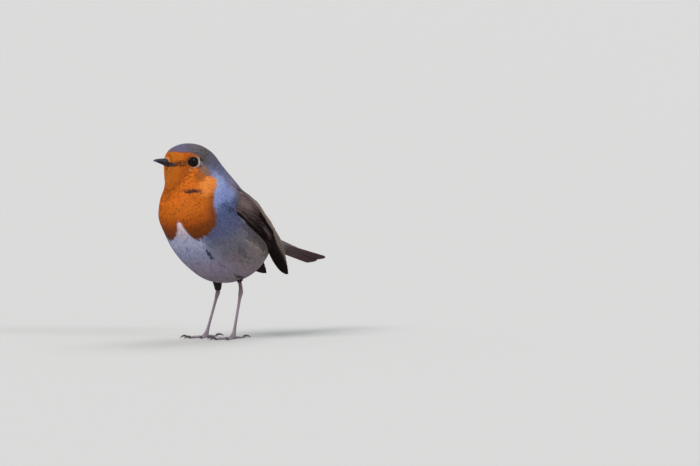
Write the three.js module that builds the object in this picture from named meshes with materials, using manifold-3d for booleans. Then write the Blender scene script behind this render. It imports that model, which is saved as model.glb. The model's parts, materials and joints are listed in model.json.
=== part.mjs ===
// A still, life-size European robin (Erithacus rubecula) on both feet, its body inclined, its wings a little
// drooped below the tail and its head turned to its right.
// Millimetres, +Z up. The floor is Z = 0, the body faces -Y and the bird's left side is at +X. The bird is
// drawn about the point midway between its feet, and the last lines centre it on its bounding box.
import * as THREE from "three";
import { mergeVertices } from "three/addons/utils/BufferGeometryUtils.js";
import Module from "manifold-3d";

const wasm = await Module();
wasm.setup();

// ---- Driving sizes --------------------------------------------------------------------------------------
const GAP = 0.3; // kept between touching pieces
const EYE_LEVEL = 98.0; // the eyes' height above the floor
const EYE_FORWARD = 25.5; // from the feet to the plane through both eyes, before the head turns
const EYE_APART = 9.8; // from the mid-plane to the front of each eye
const EYE_RADIUS = 4.2;
const BILL_LENGTH = 20.2; // from the plane of the eyes to the tip
const HEAD_TURN = THREE.MathUtils.degToRad(22); // towards the bird's right
const NECK_AXIS_Y = -19; // the upright line that the head turns about
const WING_BULGE = 3.2; // how far the folded wing's middle stands out from the line between its edges
const WING_WIDTH = 20; // across the secondaries
const WING_THICK = 3; // at the wrist
const WING_TIP_THICK = 1.1;
const FEATHER_STEP = 0.35; // by which one flight feather lies over the next
const TAIL_LENGTH = 62;
const TAIL_DROOP = THREE.MathUtils.degToRad(15); // below the horizontal
const TAIL_ROLL = THREE.MathUtils.degToRad(22); // its right edge lower than its left
const TAIL_BASE = new THREE.Vector3(0, 25.9, 55.8);
const FOOT_APART = 9.9; // from the mid-plane to each foot

const COLOURS = {
  robinOrange: 0xc65a17,
  slateGrey: 0x7d8494,
  belly: 0xb9b4b4,
  olive: 0x6a6254,
  flight: 0x4a3f38,
  rufousTail: 0x5d4438,
  bill: 0x26242b,
  eye: 0x0b0908,
  leg: 0x7a5f5c,
  claw: 0x3a302e,
};

// ---- Making solids -------------------------------------------------------------------------------------
const point = (x, y, z) => new THREE.Vector3(x, y, z);

// The triangles that fill a nearly flat ring, running the same way round as the ring.
function fillRing(ring) {
  const normal = point(0, 0, 0);
  ring.forEach((p, i) => normal.add(p.clone().cross(ring[(i + 1) % ring.length])));
  normal.normalize();
  const across = ring[Math.floor(ring.length / 2)].clone().sub(ring[0]).normalize();
  const up = normal.clone().cross(across);
  const flat = ring.map((p) => new THREE.Vector2(p.dot(across), p.dot(up)));
  return THREE.ShapeUtils.triangulateShape(flat, []).flatMap(([a, b, c]) => {
    const turn = flat[b].clone().sub(flat[a]).cross(flat[c].clone().sub(flat[a]));
    return turn > 0 ? [a, b, c] : [a, c, b];
  });
}

// A closed surface through rings of equally many points, filled at both ends.
function loft(rings) {
  const sides = rings[0].length;
  const last = sides * (rings.length - 1);
  const faces = [
    ...fillRing(rings[0]).reverse(),
    ...fillRing(rings.at(-1)).map((corner) => corner + last),
  ];
  for (let r = 0; r + 1 < rings.length; r++) {
    for (let s = 0; s < sides; s++) {
      const a = r * sides + s;
      const b = r * sides + ((s + 1) % sides);
      faces.push(a, b, b + sides, a, b + sides, a + sides);
    }
  }
  return new THREE.BufferGeometry().setFromPoints(rings.flat()).setIndex(faces);
}

// A manifold-3d solid of a closed geometry, whichever way round its faces run.
function solid(geometry) {
  const bare = geometry.clone();
  bare.deleteAttribute("normal");
  bare.deleteAttribute("uv");
  const merged = mergeVertices(bare, 1e-4);
  const triVerts = new Uint32Array(merged.index.array);
  const vertProperties = merged.attributes.position.array;
  const made = new wasm.Manifold(new wasm.Mesh({ numProp: 3, vertProperties, triVerts }));
  if (made.volume() > 0) return made;
  return new wasm.Manifold(new wasm.Mesh({ numProp: 3, vertProperties, triVerts: triVerts.reverse() }));
}

function geometryOf(manifold) {
  const { numProp, vertProperties, triVerts } = manifold.getMesh();
  const positions = [];
  for (let i = 0; i < vertProperties.length; i += numProp) positions.push(...vertProperties.slice(i, i + 3));
  return new THREE.BufferGeometry()
    .setAttribute("position", new THREE.Float32BufferAttribute(positions, 3))
    .setIndex([...triVerts]);
}

// A left-hand geometry as a solid on the side of the given sign.
const onSide = (geometry, sign) => solid(geometry.clone().scale(sign, 1, 1));

const union = (solids) => solids.reduce((all, one) => all.add(one));
const cutBy = (made, cutters) => cutters.reduce((left, cutter) => left.subtract(cutter), made);

const nodes = [];
function addNode(name, manifold, colour, roughness = 0.8) {
  const material = new THREE.MeshStandardMaterial({ color: colour, roughness, metalness: 0 });
  const mesh = new THREE.Mesh(geometryOf(manifold), material);
  mesh.name = name;
  nodes.push(mesh);
}

const SIDES_OF_BIRD = [
  { name: "left", sign: 1 },
  { name: "right", sign: -1 },
];

// ---- The feathered form of head, neck and trunk ---------------------------------------------------------
// One smooth form, held by ribs. Each rib runs from a point of the upper outline (crown, nape, back, rump)
// to one of the lower outline (chin, throat, breast, belly, vent), and has the form's half-width there.
const RIBS = [
  { top: [-36.8, 99.8], low: [-37.0, 93.4], half: 2.6 }, // base of the bill
  { top: [-36.4, 103.0], low: [-36.8, 90.2], half: 5.4 }, // forehead and chin
  { top: [-32.4, 106.2], low: [-36.6, 86.2], half: 7.9 },
  { top: [-25.6, 107.9], low: [-36.8, 82.8], half: 9.5 }, // crown and throat
  { top: [-17.6, 106.9], low: [-38.2, 79.4], half: 10.4 }, // through the eyes
  { top: [-10.8, 103.0], low: [-40.4, 75.4], half: 12.4 },
  { top: [-5.2, 96.5], low: [-41.2, 70.4], half: 16.2 }, // nape
  { top: [1.8, 89.3], low: [-39.6, 64.0], half: 20.4 }, // mantle and full breast
  { top: [9.8, 81.2], low: [-34.0, 56.4], half: 22.7 },
  { top: [18.2, 73.2], low: [-26.1, 46.4], half: 23.6 }, // back and belly
  { top: [24.8, 66.8], low: [-15.2, 37.3], half: 22.9 },
  { top: [29.2, 62.0], low: [-1.8, 30.7], half: 20.4 },
  { top: [33.0, 58.8], low: [11.6, 31.6], half: 15.8 }, // rump and vent
  { top: [37.4, 57.0], low: [24.0, 39.2], half: 10.6 },
  { top: [43.0, 55.0], low: [36.0, 45.0], half: 7.4 }, // tail coverts
  { top: [50.0, 52.4], low: [48.6, 46.6], half: 4.8 },
];
const RIB_SIDES = 28;
const SQUARENESS = 2.2; // 2 is an ellipse
// The numbers of the ribs where the head's turn and the division into pieces start and end.
const rib = { eyes: 4, hindneck: 5, mantle: 7, belly: 9, vent: 12 };

const upperOutline = new THREE.CatmullRomCurve3(RIBS.map(({ top }) => point(0, ...top)));
const lowerOutline = new THREE.CatmullRomCurve3(RIBS.map(({ low, half }) => point(half, ...low)));
const rounded = (c) => Math.sign(c) * Math.abs(c) ** (2 / SQUARENESS);

// The head turns as a whole, and the turn fades out down the neck.
function headTurn(ribNumber) {
  return HEAD_TURN * (1 - THREE.MathUtils.smoothstep(ribNumber, rib.eyes, rib.mantle));
}
function turned(p, angle) {
  const y = p.y - NECK_AXIS_Y;
  return point(
    p.x * Math.cos(angle) + y * Math.sin(angle),
    NECK_AXIS_Y + y * Math.cos(angle) - p.x * Math.sin(angle),
    p.z,
  );
}

// The closed outline of the form at a rib, which may lie between two. shift moves it along the body.
function ribRing(number, shift = 0) {
  const share = number / (RIBS.length - 1);
  const top = upperOutline.getPoint(share);
  const low = lowerOutline.getPoint(share);
  const half = low.x;
  low.x = 0;
  const alongBody = point(1, 0, 0).cross(top.clone().sub(low)).normalize().multiplyScalar(-shift);
  return Array.from({ length: RIB_SIDES }, (_, s) => {
    const angle = (2 * Math.PI * s) / RIB_SIDES;
    const p = low.clone().lerp(top, 0.5 + 0.5 * rounded(Math.sin(angle)));
    p.x = half * rounded(Math.cos(angle));
    return turned(p.add(alongBody), headTurn(number));
  });
}

// The form between two ribs, held back half a gap at each end that meets another piece.
const RINGS_PER_RIB = 3;
function bodyLength(from, to) {
  const steps = Math.round((to - from) * RINGS_PER_RIB);
  const rings = Array.from({ length: steps + 1 }, (_, i) => {
    const atStart = i === 0 && from > 0;
    const atEnd = i === steps && to < RIBS.length - 1;
    return ribRing(from + (i * (to - from)) / steps, (atStart ? GAP / 2 : 0) - (atEnd ? GAP / 2 : 0));
  });
  return solid(loft(rings));
}

// ---- Bill -----------------------------------------------------------------------------------------------
// Drawn about the point midway between the eyes, as if the head looked straight ahead (-Y), then turned.
const inHead = (x, y, z) => turned(point(x, y - EYE_FORWARD, z + EYE_LEVEL), HEAD_TURN);
const eyeToBill = (share) => -BILL_LENGTH * share;

// Sections along the bill, from inside the face to the tip: the height of its ridge (culmen), of its cutting
// edge (tomium) and of its underside (gonys), and its half-width at the cutting edge.
const BILL_SECTIONS = [
  { y: eyeToBill(0.38), culmen: 2.4, tomium: -2.2, gonys: -3.9, half: 3.0 },
  { y: eyeToBill(0.54), culmen: 2.1, tomium: -0.9, gonys: -3.0, half: 2.4 },
  { y: eyeToBill(0.66), culmen: 2.0, tomium: -0.4, gonys: -2.2, half: 1.9 },
  { y: eyeToBill(0.78), culmen: 1.85, tomium: 0.1, gonys: -1.3, half: 1.4 },
  { y: eyeToBill(0.89), culmen: 1.65, tomium: 0.45, gonys: -0.4, half: 0.9 },
  { y: eyeToBill(0.96), culmen: 1.35, tomium: 0.65, gonys: 0.2, half: 0.5 },
  { y: eyeToBill(1), culmen: 0.9, tomium: 0.35, gonys: 0.3, half: 0.22 },
];
const BILL_SIDES = 9;
const LOWER_BILL_SHARE = 0.975; // the upper bill's tip overhangs the lower's

// Half a bill: an arch over (upper) or under (lower) the cutting edge. grow widens it, for its socket.
function billHalf(upper, grow = 0) {
  const sections = upper ? BILL_SECTIONS : BILL_SECTIONS.slice(0, -1);
  const away = upper ? 1 : -1;
  const rings = sections.map(({ y, culmen, tomium, gonys, half }, number) => {
    const along = number === 0 ? y + grow : y * (upper ? 1 : LOWER_BILL_SHARE);
    const edge = tomium + away * (GAP / 2 - grow);
    const reach = (upper ? culmen : gonys) + away * grow - edge;
    return Array.from({ length: BILL_SIDES }, (_, s) => {
      const angle = (Math.PI * s) / (BILL_SIDES - 1);
      return inHead((half + grow) * Math.cos(angle), along, edge + reach * Math.sin(angle));
    });
  });
  return solid(loft(rings));
}
const billUpper = billHalf(true);
const billLower = billHalf(false);
const billSocket = union([billHalf(true, GAP), billHalf(false, GAP)]);

// ---- Eyes -----------------------------------------------------------------------------------------------
// Each eyeball shows through a round opening, at the bottom of a shallow dish of the face's feathers.
const EYE_DETAIL = 7;
const EYE_DISH_RADIUS = 6;
const EYE_DISH_DEPTH = 1.2; // below the front of the eyeball
function ballInHead(radius, x, detail) {
  const ball = new THREE.SphereGeometry(radius, 2 * detail, detail);
  const centre = inHead(x, 0, 0);
  return solid(ball.translate(centre.x, centre.y, centre.z));
}
const eyeballs = SIDES_OF_BIRD.map(({ name, sign }) => ({
  name: `eye_${name}`,
  form: ballInHead(EYE_RADIUS, sign * (EYE_APART - EYE_RADIUS), EYE_DETAIL),
}));
const eyeHollows = SIDES_OF_BIRD.flatMap(({ sign }) => [
  ballInHead(EYE_RADIUS + 2 * GAP, sign * (EYE_APART - EYE_RADIUS), 6),
  ballInHead(EYE_DISH_RADIUS, sign * (EYE_APART - EYE_DISH_DEPTH + EYE_DISH_RADIUS), 8),
]);

// ---- Wings ----------------------------------------------------------------------------------------------
// A folded wing is a curved shell between a lower edge (wrist to the tip of the longest primary) and an
// upper edge (shoulder, over the tertials, to the same tip). The left one is drawn; the right is its mirror.
const wingLowerEdge = new THREE.CatmullRomCurve3([
  point(22.6, -16.6, 73.9),
  point(23.6, -1.6, 62.9),
  point(22.6, 6.9, 57.9),
  point(20.2, 16.4, 51.8),
  point(17.0, 24.1, 45.4),
  point(14.2, 30.8, 40.7),
  point(11.0, 40.0, 35.3),
  point(8.6, 48.4, 32.6),
]);
const wingUpperEdge = new THREE.CatmullRomCurve3([
  point(16.0, -9.0, 84.6),
  point(13.0, 12.0, 76.6),
  point(12.5, 19.0, 71.0),
  point(11.8, 28.0, 63.6),
  point(11.0, 35.9, 56.5),
  point(10.3, 41.8, 50.2),
  point(9.2, 46.6, 42.0),
  point(8.4, 49.6, 33.8),
]);

// A place on the wing: t runs from wrist (0) to tip (1), v from the lower edge (0) to the upper edge (1),
// and out is the distance outwards from the shell's outer face.
function wingPoint(t, v, out) {
  const low = wingLowerEdge.getPoint(t);
  const high = wingUpperEdge.getPoint(t);
  const chord = high.clone().sub(low);
  const along = wingLowerEdge.getTangent(t).add(wingUpperEdge.getTangent(t)).normalize();
  const outwards = chord.clone().cross(along).normalize();
  if (outwards.x < 0) outwards.negate();
  const bulge = WING_BULGE * Math.sin(Math.PI * v) * (chord.length() / WING_WIDTH) ** 1.5;
  return low.addScaledVector(chord, v).addScaledVector(outwards, bulge + out);
}
const wingThickness = (t) => THREE.MathUtils.lerp(WING_THICK, WING_TIP_THICK, Math.min(1, t * 1.3));

// A patch of the wing between the v of two edges. feathers says how many lie side by side across it, each
// stepped up over the next, and rows how many rows of coverts lie one behind another along it.
function wingPatch({ from, to, lowEdge, highEdge, feathers = 1, rows = 0, rings, grow = 0 }) {
  const pointsAcross = Math.max(2, Math.ceil(6 / feathers));
  const sections = Array.from({ length: rings + 1 }, (_, i) => {
    const share = i / rings;
    const t = THREE.MathUtils.lerp(from, to, share);
    const chord = wingLowerEdge.getPoint(t).distanceTo(wingUpperEdge.getPoint(t));
    const low = lowEdge(t) - grow / chord;
    const high = highEdge(t) + grow / chord;
    const rowStep = rows > 0 ? FEATHER_STEP * (((share * rows) % 1) - 1) : 0;
    const outer = [];
    for (let feather = 0; feather < feathers; feather++) {
      for (let k = 0; k < pointsAcross; k++) {
        const across = 0.01 + (0.98 * k) / (pointsAcross - 1);
        const v = THREE.MathUtils.lerp(low, high, (feather + across) / feathers);
        const step = feathers > 1 ? -FEATHER_STEP * across : 0;
        outer.push(wingPoint(t, v, step + rowStep + grow));
      }
    }
    const inner = [1, 0.66, 0.33, 0].map((inShare) =>
      wingPoint(t, THREE.MathUtils.lerp(low, high, inShare), -wingThickness(t) - grow),
    );
    return [...outer, ...inner];
  });
  return loft(sections);
}

// Places along the wing, as shares of its length.
const WRIST_START = 0.012;
const WRIST_END = 0.08; // the shell widens from its round wrist up to here
const COVERTS_END = 0.4;
const SECONDARIES_END = 0.78;
const WING_TIP = 0.995;
const HALF_GAP_ALONG = 0.002;
const HALF_GAP_ACROSS = 0.008; // as a share of the wing's width

const wristRound = (t) => Math.sqrt(1 - Math.max(0, 1 - t / WRIST_END) ** 2);
const bottomEdge = (t) => 0.5 - 0.5 * wristRound(t);
const topEdge = (t) => 0.5 + 0.5 * wristRound(t);

// The border between primaries and secondaries rises from low on the wing, behind the coverts, to its top.
function primariesTop(t) {
  return THREE.MathUtils.lerp(0.36, 0.94, THREE.MathUtils.smoothstep(t, COVERTS_END, SECONDARIES_END));
}
const wingPieces = {
  coverts: wingPatch({
    from: WRIST_START,
    to: COVERTS_END - HALF_GAP_ALONG,
    lowEdge: bottomEdge,
    highEdge: topEdge,
    rows: 3,
    rings: 12,
  }),
  secondaries: wingPatch({
    from: COVERTS_END + HALF_GAP_ALONG,
    to: SECONDARIES_END,
    lowEdge: (t) => primariesTop(t) + HALF_GAP_ACROSS,
    highEdge: topEdge,
    feathers: 5,
    rings: 8,
  }),
  primaries: wingPatch({
    from: COVERTS_END + HALF_GAP_ALONG,
    to: WING_TIP,
    lowEdge: bottomEdge,
    highEdge: (t) => primariesTop(t) - HALF_GAP_ACROSS,
    feathers: 6,
    rings: 12,
  }),
};
const wingRoom = wingPatch({
  from: 0,
  to: 1,
  lowEdge: (t) => bottomEdge(t + WRIST_START),
  highEdge: (t) => topEdge(t + WRIST_START),
  rings: 18,
  grow: GAP,
});

// ---- Tail -----------------------------------------------------------------------------------------------
// Twelve flat feathers (rectrices), nearly closed: the middle pair lies on top and each next one under it,
// so that the tail is one thin stack with a stepped top.
const TAIL_PAIRS = 6;
const RECTRIX_HALF = 2.8;
const RECTRIX_THICK = 0.5;
const RECTRIX_DROP = 0.28; // from one pair to the next below it
const TAIL_SPREAD = 3.4; // by which the outermost feathers stand out past the middle pair at the tip
const TAIL_DEPTH = RECTRIX_THICK + TAIL_PAIRS * RECTRIX_DROP;
const TAIL_END_ROUND = 4; // how much shorter the outermost feathers are

// The stack's outline across the tail at a share of its length. grow widens it, for its room in the rump.
function tailRing(share, grow = 0) {
  const full = RECTRIX_HALF * THREE.MathUtils.lerp(0.6, 1, Math.min(1, share * 2.5)) + grow;
  const spread = TAIL_SPREAD * THREE.MathUtils.lerp(0.3, 1, share);
  const outline = [];
  for (let pair = TAIL_PAIRS - 1; pair >= 0; pair--) {
    const inner = full + (spread * Math.max(0, pair - 1)) / (TAIL_PAIRS - 1);
    const outer = full + (spread * pair) / (TAIL_PAIRS - 1);
    const top = grow - pair * RECTRIX_DROP;
    outline.push([outer, top]);
    if (pair > 0) outline.push([inner, top]);
  }
  const left = outline.map(([x, z]) => [-x, z]);
  const under = full * 0.3;
  const bottom = [
    [full + spread, -TAIL_DEPTH - grow],
    [under, -TAIL_DEPTH - grow],
    [under, -TAIL_DEPTH - grow + RECTRIX_DROP],
    [-under, -TAIL_DEPTH - grow + RECTRIX_DROP],
    [-under, -TAIL_DEPTH - grow],
    [-full - spread, -TAIL_DEPTH - grow],
  ];
  const halfWidth = full + spread;
  return [...left, ...outline.reverse(), ...bottom].map(([x, z]) => {
    const endRounding = TAIL_END_ROUND * (Math.abs(x) / halfWidth) ** 2;
    const p = point(x, share * TAIL_LENGTH - THREE.MathUtils.smoothstep(share, 0.8, 1) * endRounding, z);
    if (share === 0) p.y -= grow;
    p.applyAxisAngle(point(0, 1, 0), -TAIL_ROLL);
    return p.applyAxisAngle(point(1, 0, 0), -TAIL_DROOP).add(TAIL_BASE);
  });
}
const TAIL_STATIONS = [0, 0.2, 0.4, 0.6, 0.8, 0.96, 1];
const tail = solid(loft(TAIL_STATIONS.map((share) => tailRing(share))));
const tailRoom = solid(loft(TAIL_STATIONS.map((share) => tailRing(share, GAP))));

// ---- Legs and feet --------------------------------------------------------------------------------------
// Both feet stand level; the legs lean back from them to the ankles, the left one a little straighter.
const LEGS = [
  { ...SIDES_OF_BIRD[0], ankle: point(9.5, 6.9, 26.2), hip: point(9.0, 4.2, 41) },
  { ...SIDES_OF_BIRD[1], ankle: point(-9.5, 9.6, 25.0), hip: point(-9.0, 7.4, 39) },
];
const LEG_SIDES = 10;

// A limb of level sections. Each has a centre and its half-widths across and along the bird.
function limb(sections, grow = 0) {
  const rings = sections.map(({ at, across, along }) =>
    Array.from({ length: LEG_SIDES }, (_, s) => {
      const angle = (2 * Math.PI * s) / LEG_SIDES;
      return point(at.x + (across + grow) * Math.cos(angle), at.y + (along + grow) * Math.sin(angle), at.z);
    }),
  );
  return solid(loft(rings));
}

// The feathered thigh narrows to the ankle. share runs from the ankle (0) to the hip (1).
const THIGH_SECTIONS = [
  { share: 0, across: 1.2, along: 1.25 },
  { share: 0.1, across: 1.35, along: 1.55 },
  { share: 0.32, across: 1.9, along: 2.4 },
  { share: 0.62, across: 3.0, along: 3.6 },
  { share: 1, across: 4.0, along: 4.6 },
];
function thigh({ ankle, hip }, grow = 0) {
  const start = ankle.clone().setZ(ankle.z + GAP);
  const places = THIGH_SECTIONS.map(({ share, across, along }) => ({
    at: start.clone().lerp(hip, share),
    across,
    along,
  }));
  places.at(-1).at.z += grow;
  return limb(places, grow);
}

// The scaled lower leg (tarsus) runs from the ankle joint to the ball of the foot, which has a flat pad.
const TARSUS_SECTIONS = [
  { share: 1, across: 1.15, along: 1.2 },
  { share: 0.96, across: 1.2, along: 1.35 },
  { share: 0.9, across: 0.95, along: 1.2 },
  { share: 0.8, across: 0.7, along: 0.9 },
  { share: 0.5, across: 0.6, along: 0.78 },
  { share: 0.2, across: 0.7, along: 0.85 },
  { share: 0.08, across: 1.0, along: 1.1 },
];
const FOOT_TOP = 1.6; // where the tarsus meets the ball of the foot
const BALL_SECTIONS = [
  { z: FOOT_TOP, y: -0.4, across: 1.5, along: 1.8 },
  { z: 0.8, y: -0.9, across: 1.9, along: 2.45 },
  { z: 0, y: -0.9, across: 1.7, along: 2.3 },
];
function tarsus({ sign, ankle }) {
  const foot = point(sign * FOOT_APART, 0, FOOT_TOP);
  const shaft = TARSUS_SECTIONS.map(({ share, across, along }) => ({
    at: foot.clone().lerp(ankle, share),
    across,
    along,
  }));
  const ball = BALL_SECTIONS.map(({ z, y, across, along }) => ({ at: point(foot.x, y, z), across, along }));
  return limb([...shaft, ...ball]);
}

// A toe lies on the floor. It has a pad under each joint, and its claw curves up and forward from its end.
const TOES = {
  inner: { turn: -28, start: 3.4, length: 8.2, joints: 2, claw: 4.0 },
  middle: { turn: -2, start: 3.8, length: 10.6, joints: 3, claw: 4.8 },
  outer: { turn: 25, start: 3.4, length: 8.4, joints: 3, claw: 4.0 },
  hind: { turn: 180, start: 1.9, length: 6.6, joints: 1, claw: 6.2 },
};
const TOE_HALF = 0.78;
const TOE_HEIGHT = 1.6; // as if round; the part below the floor is flattened
const TOE_SUNK = 0.65; // the middle's height as a share of the half-height
const TOE_SIDES = 8;

// Rings across a straight line on the floor that leaves the foot at the given turn outwards from straight
// ahead. Each has its distance, the height of its middle, and its half-width and half-height.
function toeRings({ sign }, turn, sections) {
  const angle = THREE.MathUtils.degToRad(turn);
  const ahead = point(sign * Math.sin(angle), -Math.cos(angle), 0);
  const sideways = point(-ahead.y, ahead.x, 0);
  return sections.map(({ distance, middle, half, high }) =>
    Array.from({ length: TOE_SIDES }, (_, s) => {
      const around = (2 * Math.PI * s) / TOE_SIDES;
      const p = point(sign * FOOT_APART, 0, Math.max(0, middle + high * Math.sin(around)));
      return p.addScaledVector(ahead, distance).addScaledVector(sideways, half * Math.cos(around));
    }),
  );
}
function toe(leg, { turn, start, length, joints }) {
  const steps = 2 * joints + 1;
  const sections = Array.from({ length: steps + 1 }, (_, i) => {
    const share = i / steps;
    const size = (i % 2 === 1 ? 1 : 0.82) * (1 - 0.22 * share);
    return {
      distance: start + length * share,
      middle: (TOE_HEIGHT / 2) * size * TOE_SUNK,
      half: TOE_HALF * size,
      high: (TOE_HEIGHT / 2) * size,
    };
  });
  return solid(loft(toeRings(leg, turn, sections)));
}
function claw(leg, { turn, start, length, claw: clawLength }) {
  const steps = 4;
  const sections = Array.from({ length: steps + 1 }, (_, i) => {
    const share = i / steps;
    const size = 0.52 * (1 - share) ** 0.8 + 0.2;
    const middle = 0.78 + 0.75 * Math.sin(Math.PI * share ** 0.8) * 0.9 - 0.5 * share;
    return { distance: start + length + GAP + clawLength * share, middle, half: size * 0.8, high: size };
  });
  return solid(loft(toeRings(leg, turn, sections)));
}

// ---- Putting the bird together --------------------------------------------------------------------------
const rooms = [
  tailRoom,
  ...SIDES_OF_BIRD.map(({ sign }) => onSide(wingRoom, sign)),
  ...LEGS.map((leg) => thigh(leg, GAP)),
];
const BODY_PARTS = [
  { name: "head", from: 0, to: rib.hindneck, colour: COLOURS.robinOrange },
  { name: "neck", from: rib.hindneck, to: rib.mantle, colour: COLOURS.robinOrange },
  { name: "breast", from: rib.mantle, to: rib.belly, colour: COLOURS.robinOrange },
  { name: "belly", from: rib.belly, to: rib.vent, colour: COLOURS.belly },
  { name: "rump", from: rib.vent, to: RIBS.length - 1, colour: COLOURS.slateGrey },
];
for (const { name, from, to, colour } of BODY_PARTS) {
  const cutters = name === "head" ? [billSocket, ...eyeHollows] : rooms;
  addNode(name, cutBy(bodyLength(from, to), cutters), colour);
}
for (const { name, form } of eyeballs) addNode(name, form, COLOURS.eye, 0.1);
addNode("bill_upper", billUpper, COLOURS.bill, 0.4);
addNode("bill_lower", billLower, COLOURS.bill, 0.4);
addNode("tail", tail, COLOURS.rufousTail);
for (const { name, sign } of SIDES_OF_BIRD) {
  for (const [row, patch] of Object.entries(wingPieces)) {
    addNode(`wing_${name}_${row}`, onSide(patch, sign), row === "coverts" ? COLOURS.olive : COLOURS.flight);
  }
}
for (const leg of LEGS) {
  addNode(`thigh_${leg.name}`, thigh(leg), COLOURS.slateGrey);
  addNode(`tarsus_${leg.name}`, tarsus(leg), COLOURS.leg, 0.5);
  for (const [which, shape] of Object.entries(TOES)) {
    addNode(`toe_${leg.name}_${which}`, toe(leg, shape), COLOURS.leg, 0.5);
    addNode(`claw_${leg.name}_${which}`, claw(leg, shape), COLOURS.claw, 0.4);
  }
}

// The origin is the bottom centre of the whole bird's bounding box, on the floor.
const bird = new THREE.Group();
bird.add(...nodes);
const box = new THREE.Box3().setFromObject(bird);
const middle = box.getCenter(point(0, 0, 0));
bird.position.set(-middle.x, -middle.y, -box.min.z);

const robin = new THREE.Group();
robin.add(bird);
export default robin;
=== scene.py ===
import json
import math

import bpy
import numpy as np
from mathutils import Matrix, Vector, kdtree


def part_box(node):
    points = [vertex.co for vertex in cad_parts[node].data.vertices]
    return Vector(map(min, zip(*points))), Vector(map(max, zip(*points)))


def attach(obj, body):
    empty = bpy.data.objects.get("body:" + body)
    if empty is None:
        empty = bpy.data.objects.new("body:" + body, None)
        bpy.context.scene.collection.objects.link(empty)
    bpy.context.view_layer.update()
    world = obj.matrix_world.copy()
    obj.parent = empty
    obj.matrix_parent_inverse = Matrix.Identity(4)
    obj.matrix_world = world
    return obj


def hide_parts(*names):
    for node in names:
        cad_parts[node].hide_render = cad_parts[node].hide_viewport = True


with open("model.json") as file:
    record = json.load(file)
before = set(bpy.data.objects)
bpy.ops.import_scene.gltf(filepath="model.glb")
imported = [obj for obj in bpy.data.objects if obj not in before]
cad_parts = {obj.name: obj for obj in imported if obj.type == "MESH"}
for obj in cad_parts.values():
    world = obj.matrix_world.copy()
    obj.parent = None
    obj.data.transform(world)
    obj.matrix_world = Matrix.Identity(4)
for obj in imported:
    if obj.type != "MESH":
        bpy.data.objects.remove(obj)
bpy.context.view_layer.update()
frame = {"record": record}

# ---- Studio ------------------------------------------------------------------------------------------------
# The robin stands on a plain pale floor between soft lamps, and is seen from a little above its own height,
# from ahead and to its left, through a long lens. Its measures below are in millimetres from the point
# midway between its feet, with its left at +X and its front at -Y.
SOLE_AHEAD = 0.9  # from that point forward to the middle of each sole
LOOK_TURN = math.radians(40)  # of the camera from straight ahead of the body
LOOK_DOWN = math.radians(3)
LENS, SENSOR, DISTANCE = 380, 36, 4064
AIM_RIGHT, AIM_UP = 71.6, 57.75  # of the middle of the view from the feet

soles = np.array([mount["pos_m"] for mount in frame["record"]["mounts"]])
stand = soles.mean(axis=0) + (0, SOLE_AHEAD / 1000, 0)


def placed(points):
    """Points in the robin's own millimetres, as metres in the frame."""
    return np.asarray(points, float) / 1000 + stand


def added(name, data, facing=None):
    """A new object in the scene, with its own Z turned to the way it faces, if any."""
    made = bpy.data.objects.new(name, data)
    bpy.context.scene.collection.objects.link(made)
    if facing is not None:
        made.rotation_mode = "QUATERNION"
        made.rotation_quaternion = Vector(facing).to_track_quat("Z", "Y")
    return made


def soft_lamp(name, direction, power, colour, softness):
    """A wide soft lamp, far away in a direction, of the same brightness all over the floor."""
    lamp = added(name, bpy.data.lights.new(name, "SUN"), direction)
    lamp.data.energy, lamp.data.color, lamp.data.angle = power, colour, math.radians(softness)


to_camera = np.array([
    math.sin(LOOK_TURN) * math.cos(LOOK_DOWN),
    -math.cos(LOOK_TURN) * math.cos(LOOK_DOWN),
    math.sin(LOOK_DOWN),
])
to_right = np.array([math.cos(LOOK_TURN), math.sin(LOOK_TURN), 0])
to_top = np.cross(to_camera, to_right)
camera = added("camera", bpy.data.cameras.new("camera"), to_camera)
camera.data.lens, camera.data.sensor_width = LENS, SENSOR
camera.data.clip_start, camera.data.clip_end = 0.1, 100
camera.location = placed(to_right * AIM_RIGHT + to_top * AIM_UP + to_camera * DISTANCE)
bpy.context.scene.camera = camera

UPWARDS = np.array((0, 0, 1))
soft_lamp("key_lamp", to_camera - to_right * 0.9 + UPWARDS * 1.25, 3.0, (1, 0.98, 0.95), 30)
soft_lamp("fill_lamp", to_camera * 0.7 + to_right + UPWARDS * 0.6, 0.8, (0.92, 0.96, 1), 14)
soft_lamp("back_lamp", -to_camera + to_right * 0.5 + UPWARDS * 1.4, 1.3, (0.95, 0.97, 1), 35)

world = bpy.data.worlds.new("studio_air")
world.use_nodes = True
world.node_tree.nodes["Background"].inputs["Color"].default_value = (0.86, 0.865, 0.88, 1)
world.node_tree.nodes["Background"].inputs["Strength"].default_value = 0.75
bpy.context.scene.world = world
bpy.context.scene.view_settings.view_transform = "Standard"

FLOOR_RADIUS = 40  # metres, so that its edge is far away
bpy.ops.mesh.primitive_circle_add(vertices=96, radius=FLOOR_RADIUS, fill_type="NGON")
floor = bpy.context.object
floor.name = "floor"
floor.data.materials.append(bpy.data.materials.new("pale_floor"))
floor.data.materials[0].use_nodes = True
floor_paint = floor.data.materials[0].node_tree.nodes["Principled BSDF"]
floor_paint.inputs["Base Color"].default_value = (0.385, 0.385, 0.38, 1)
floor_paint.inputs["Roughness"].default_value = 0.9

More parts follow.
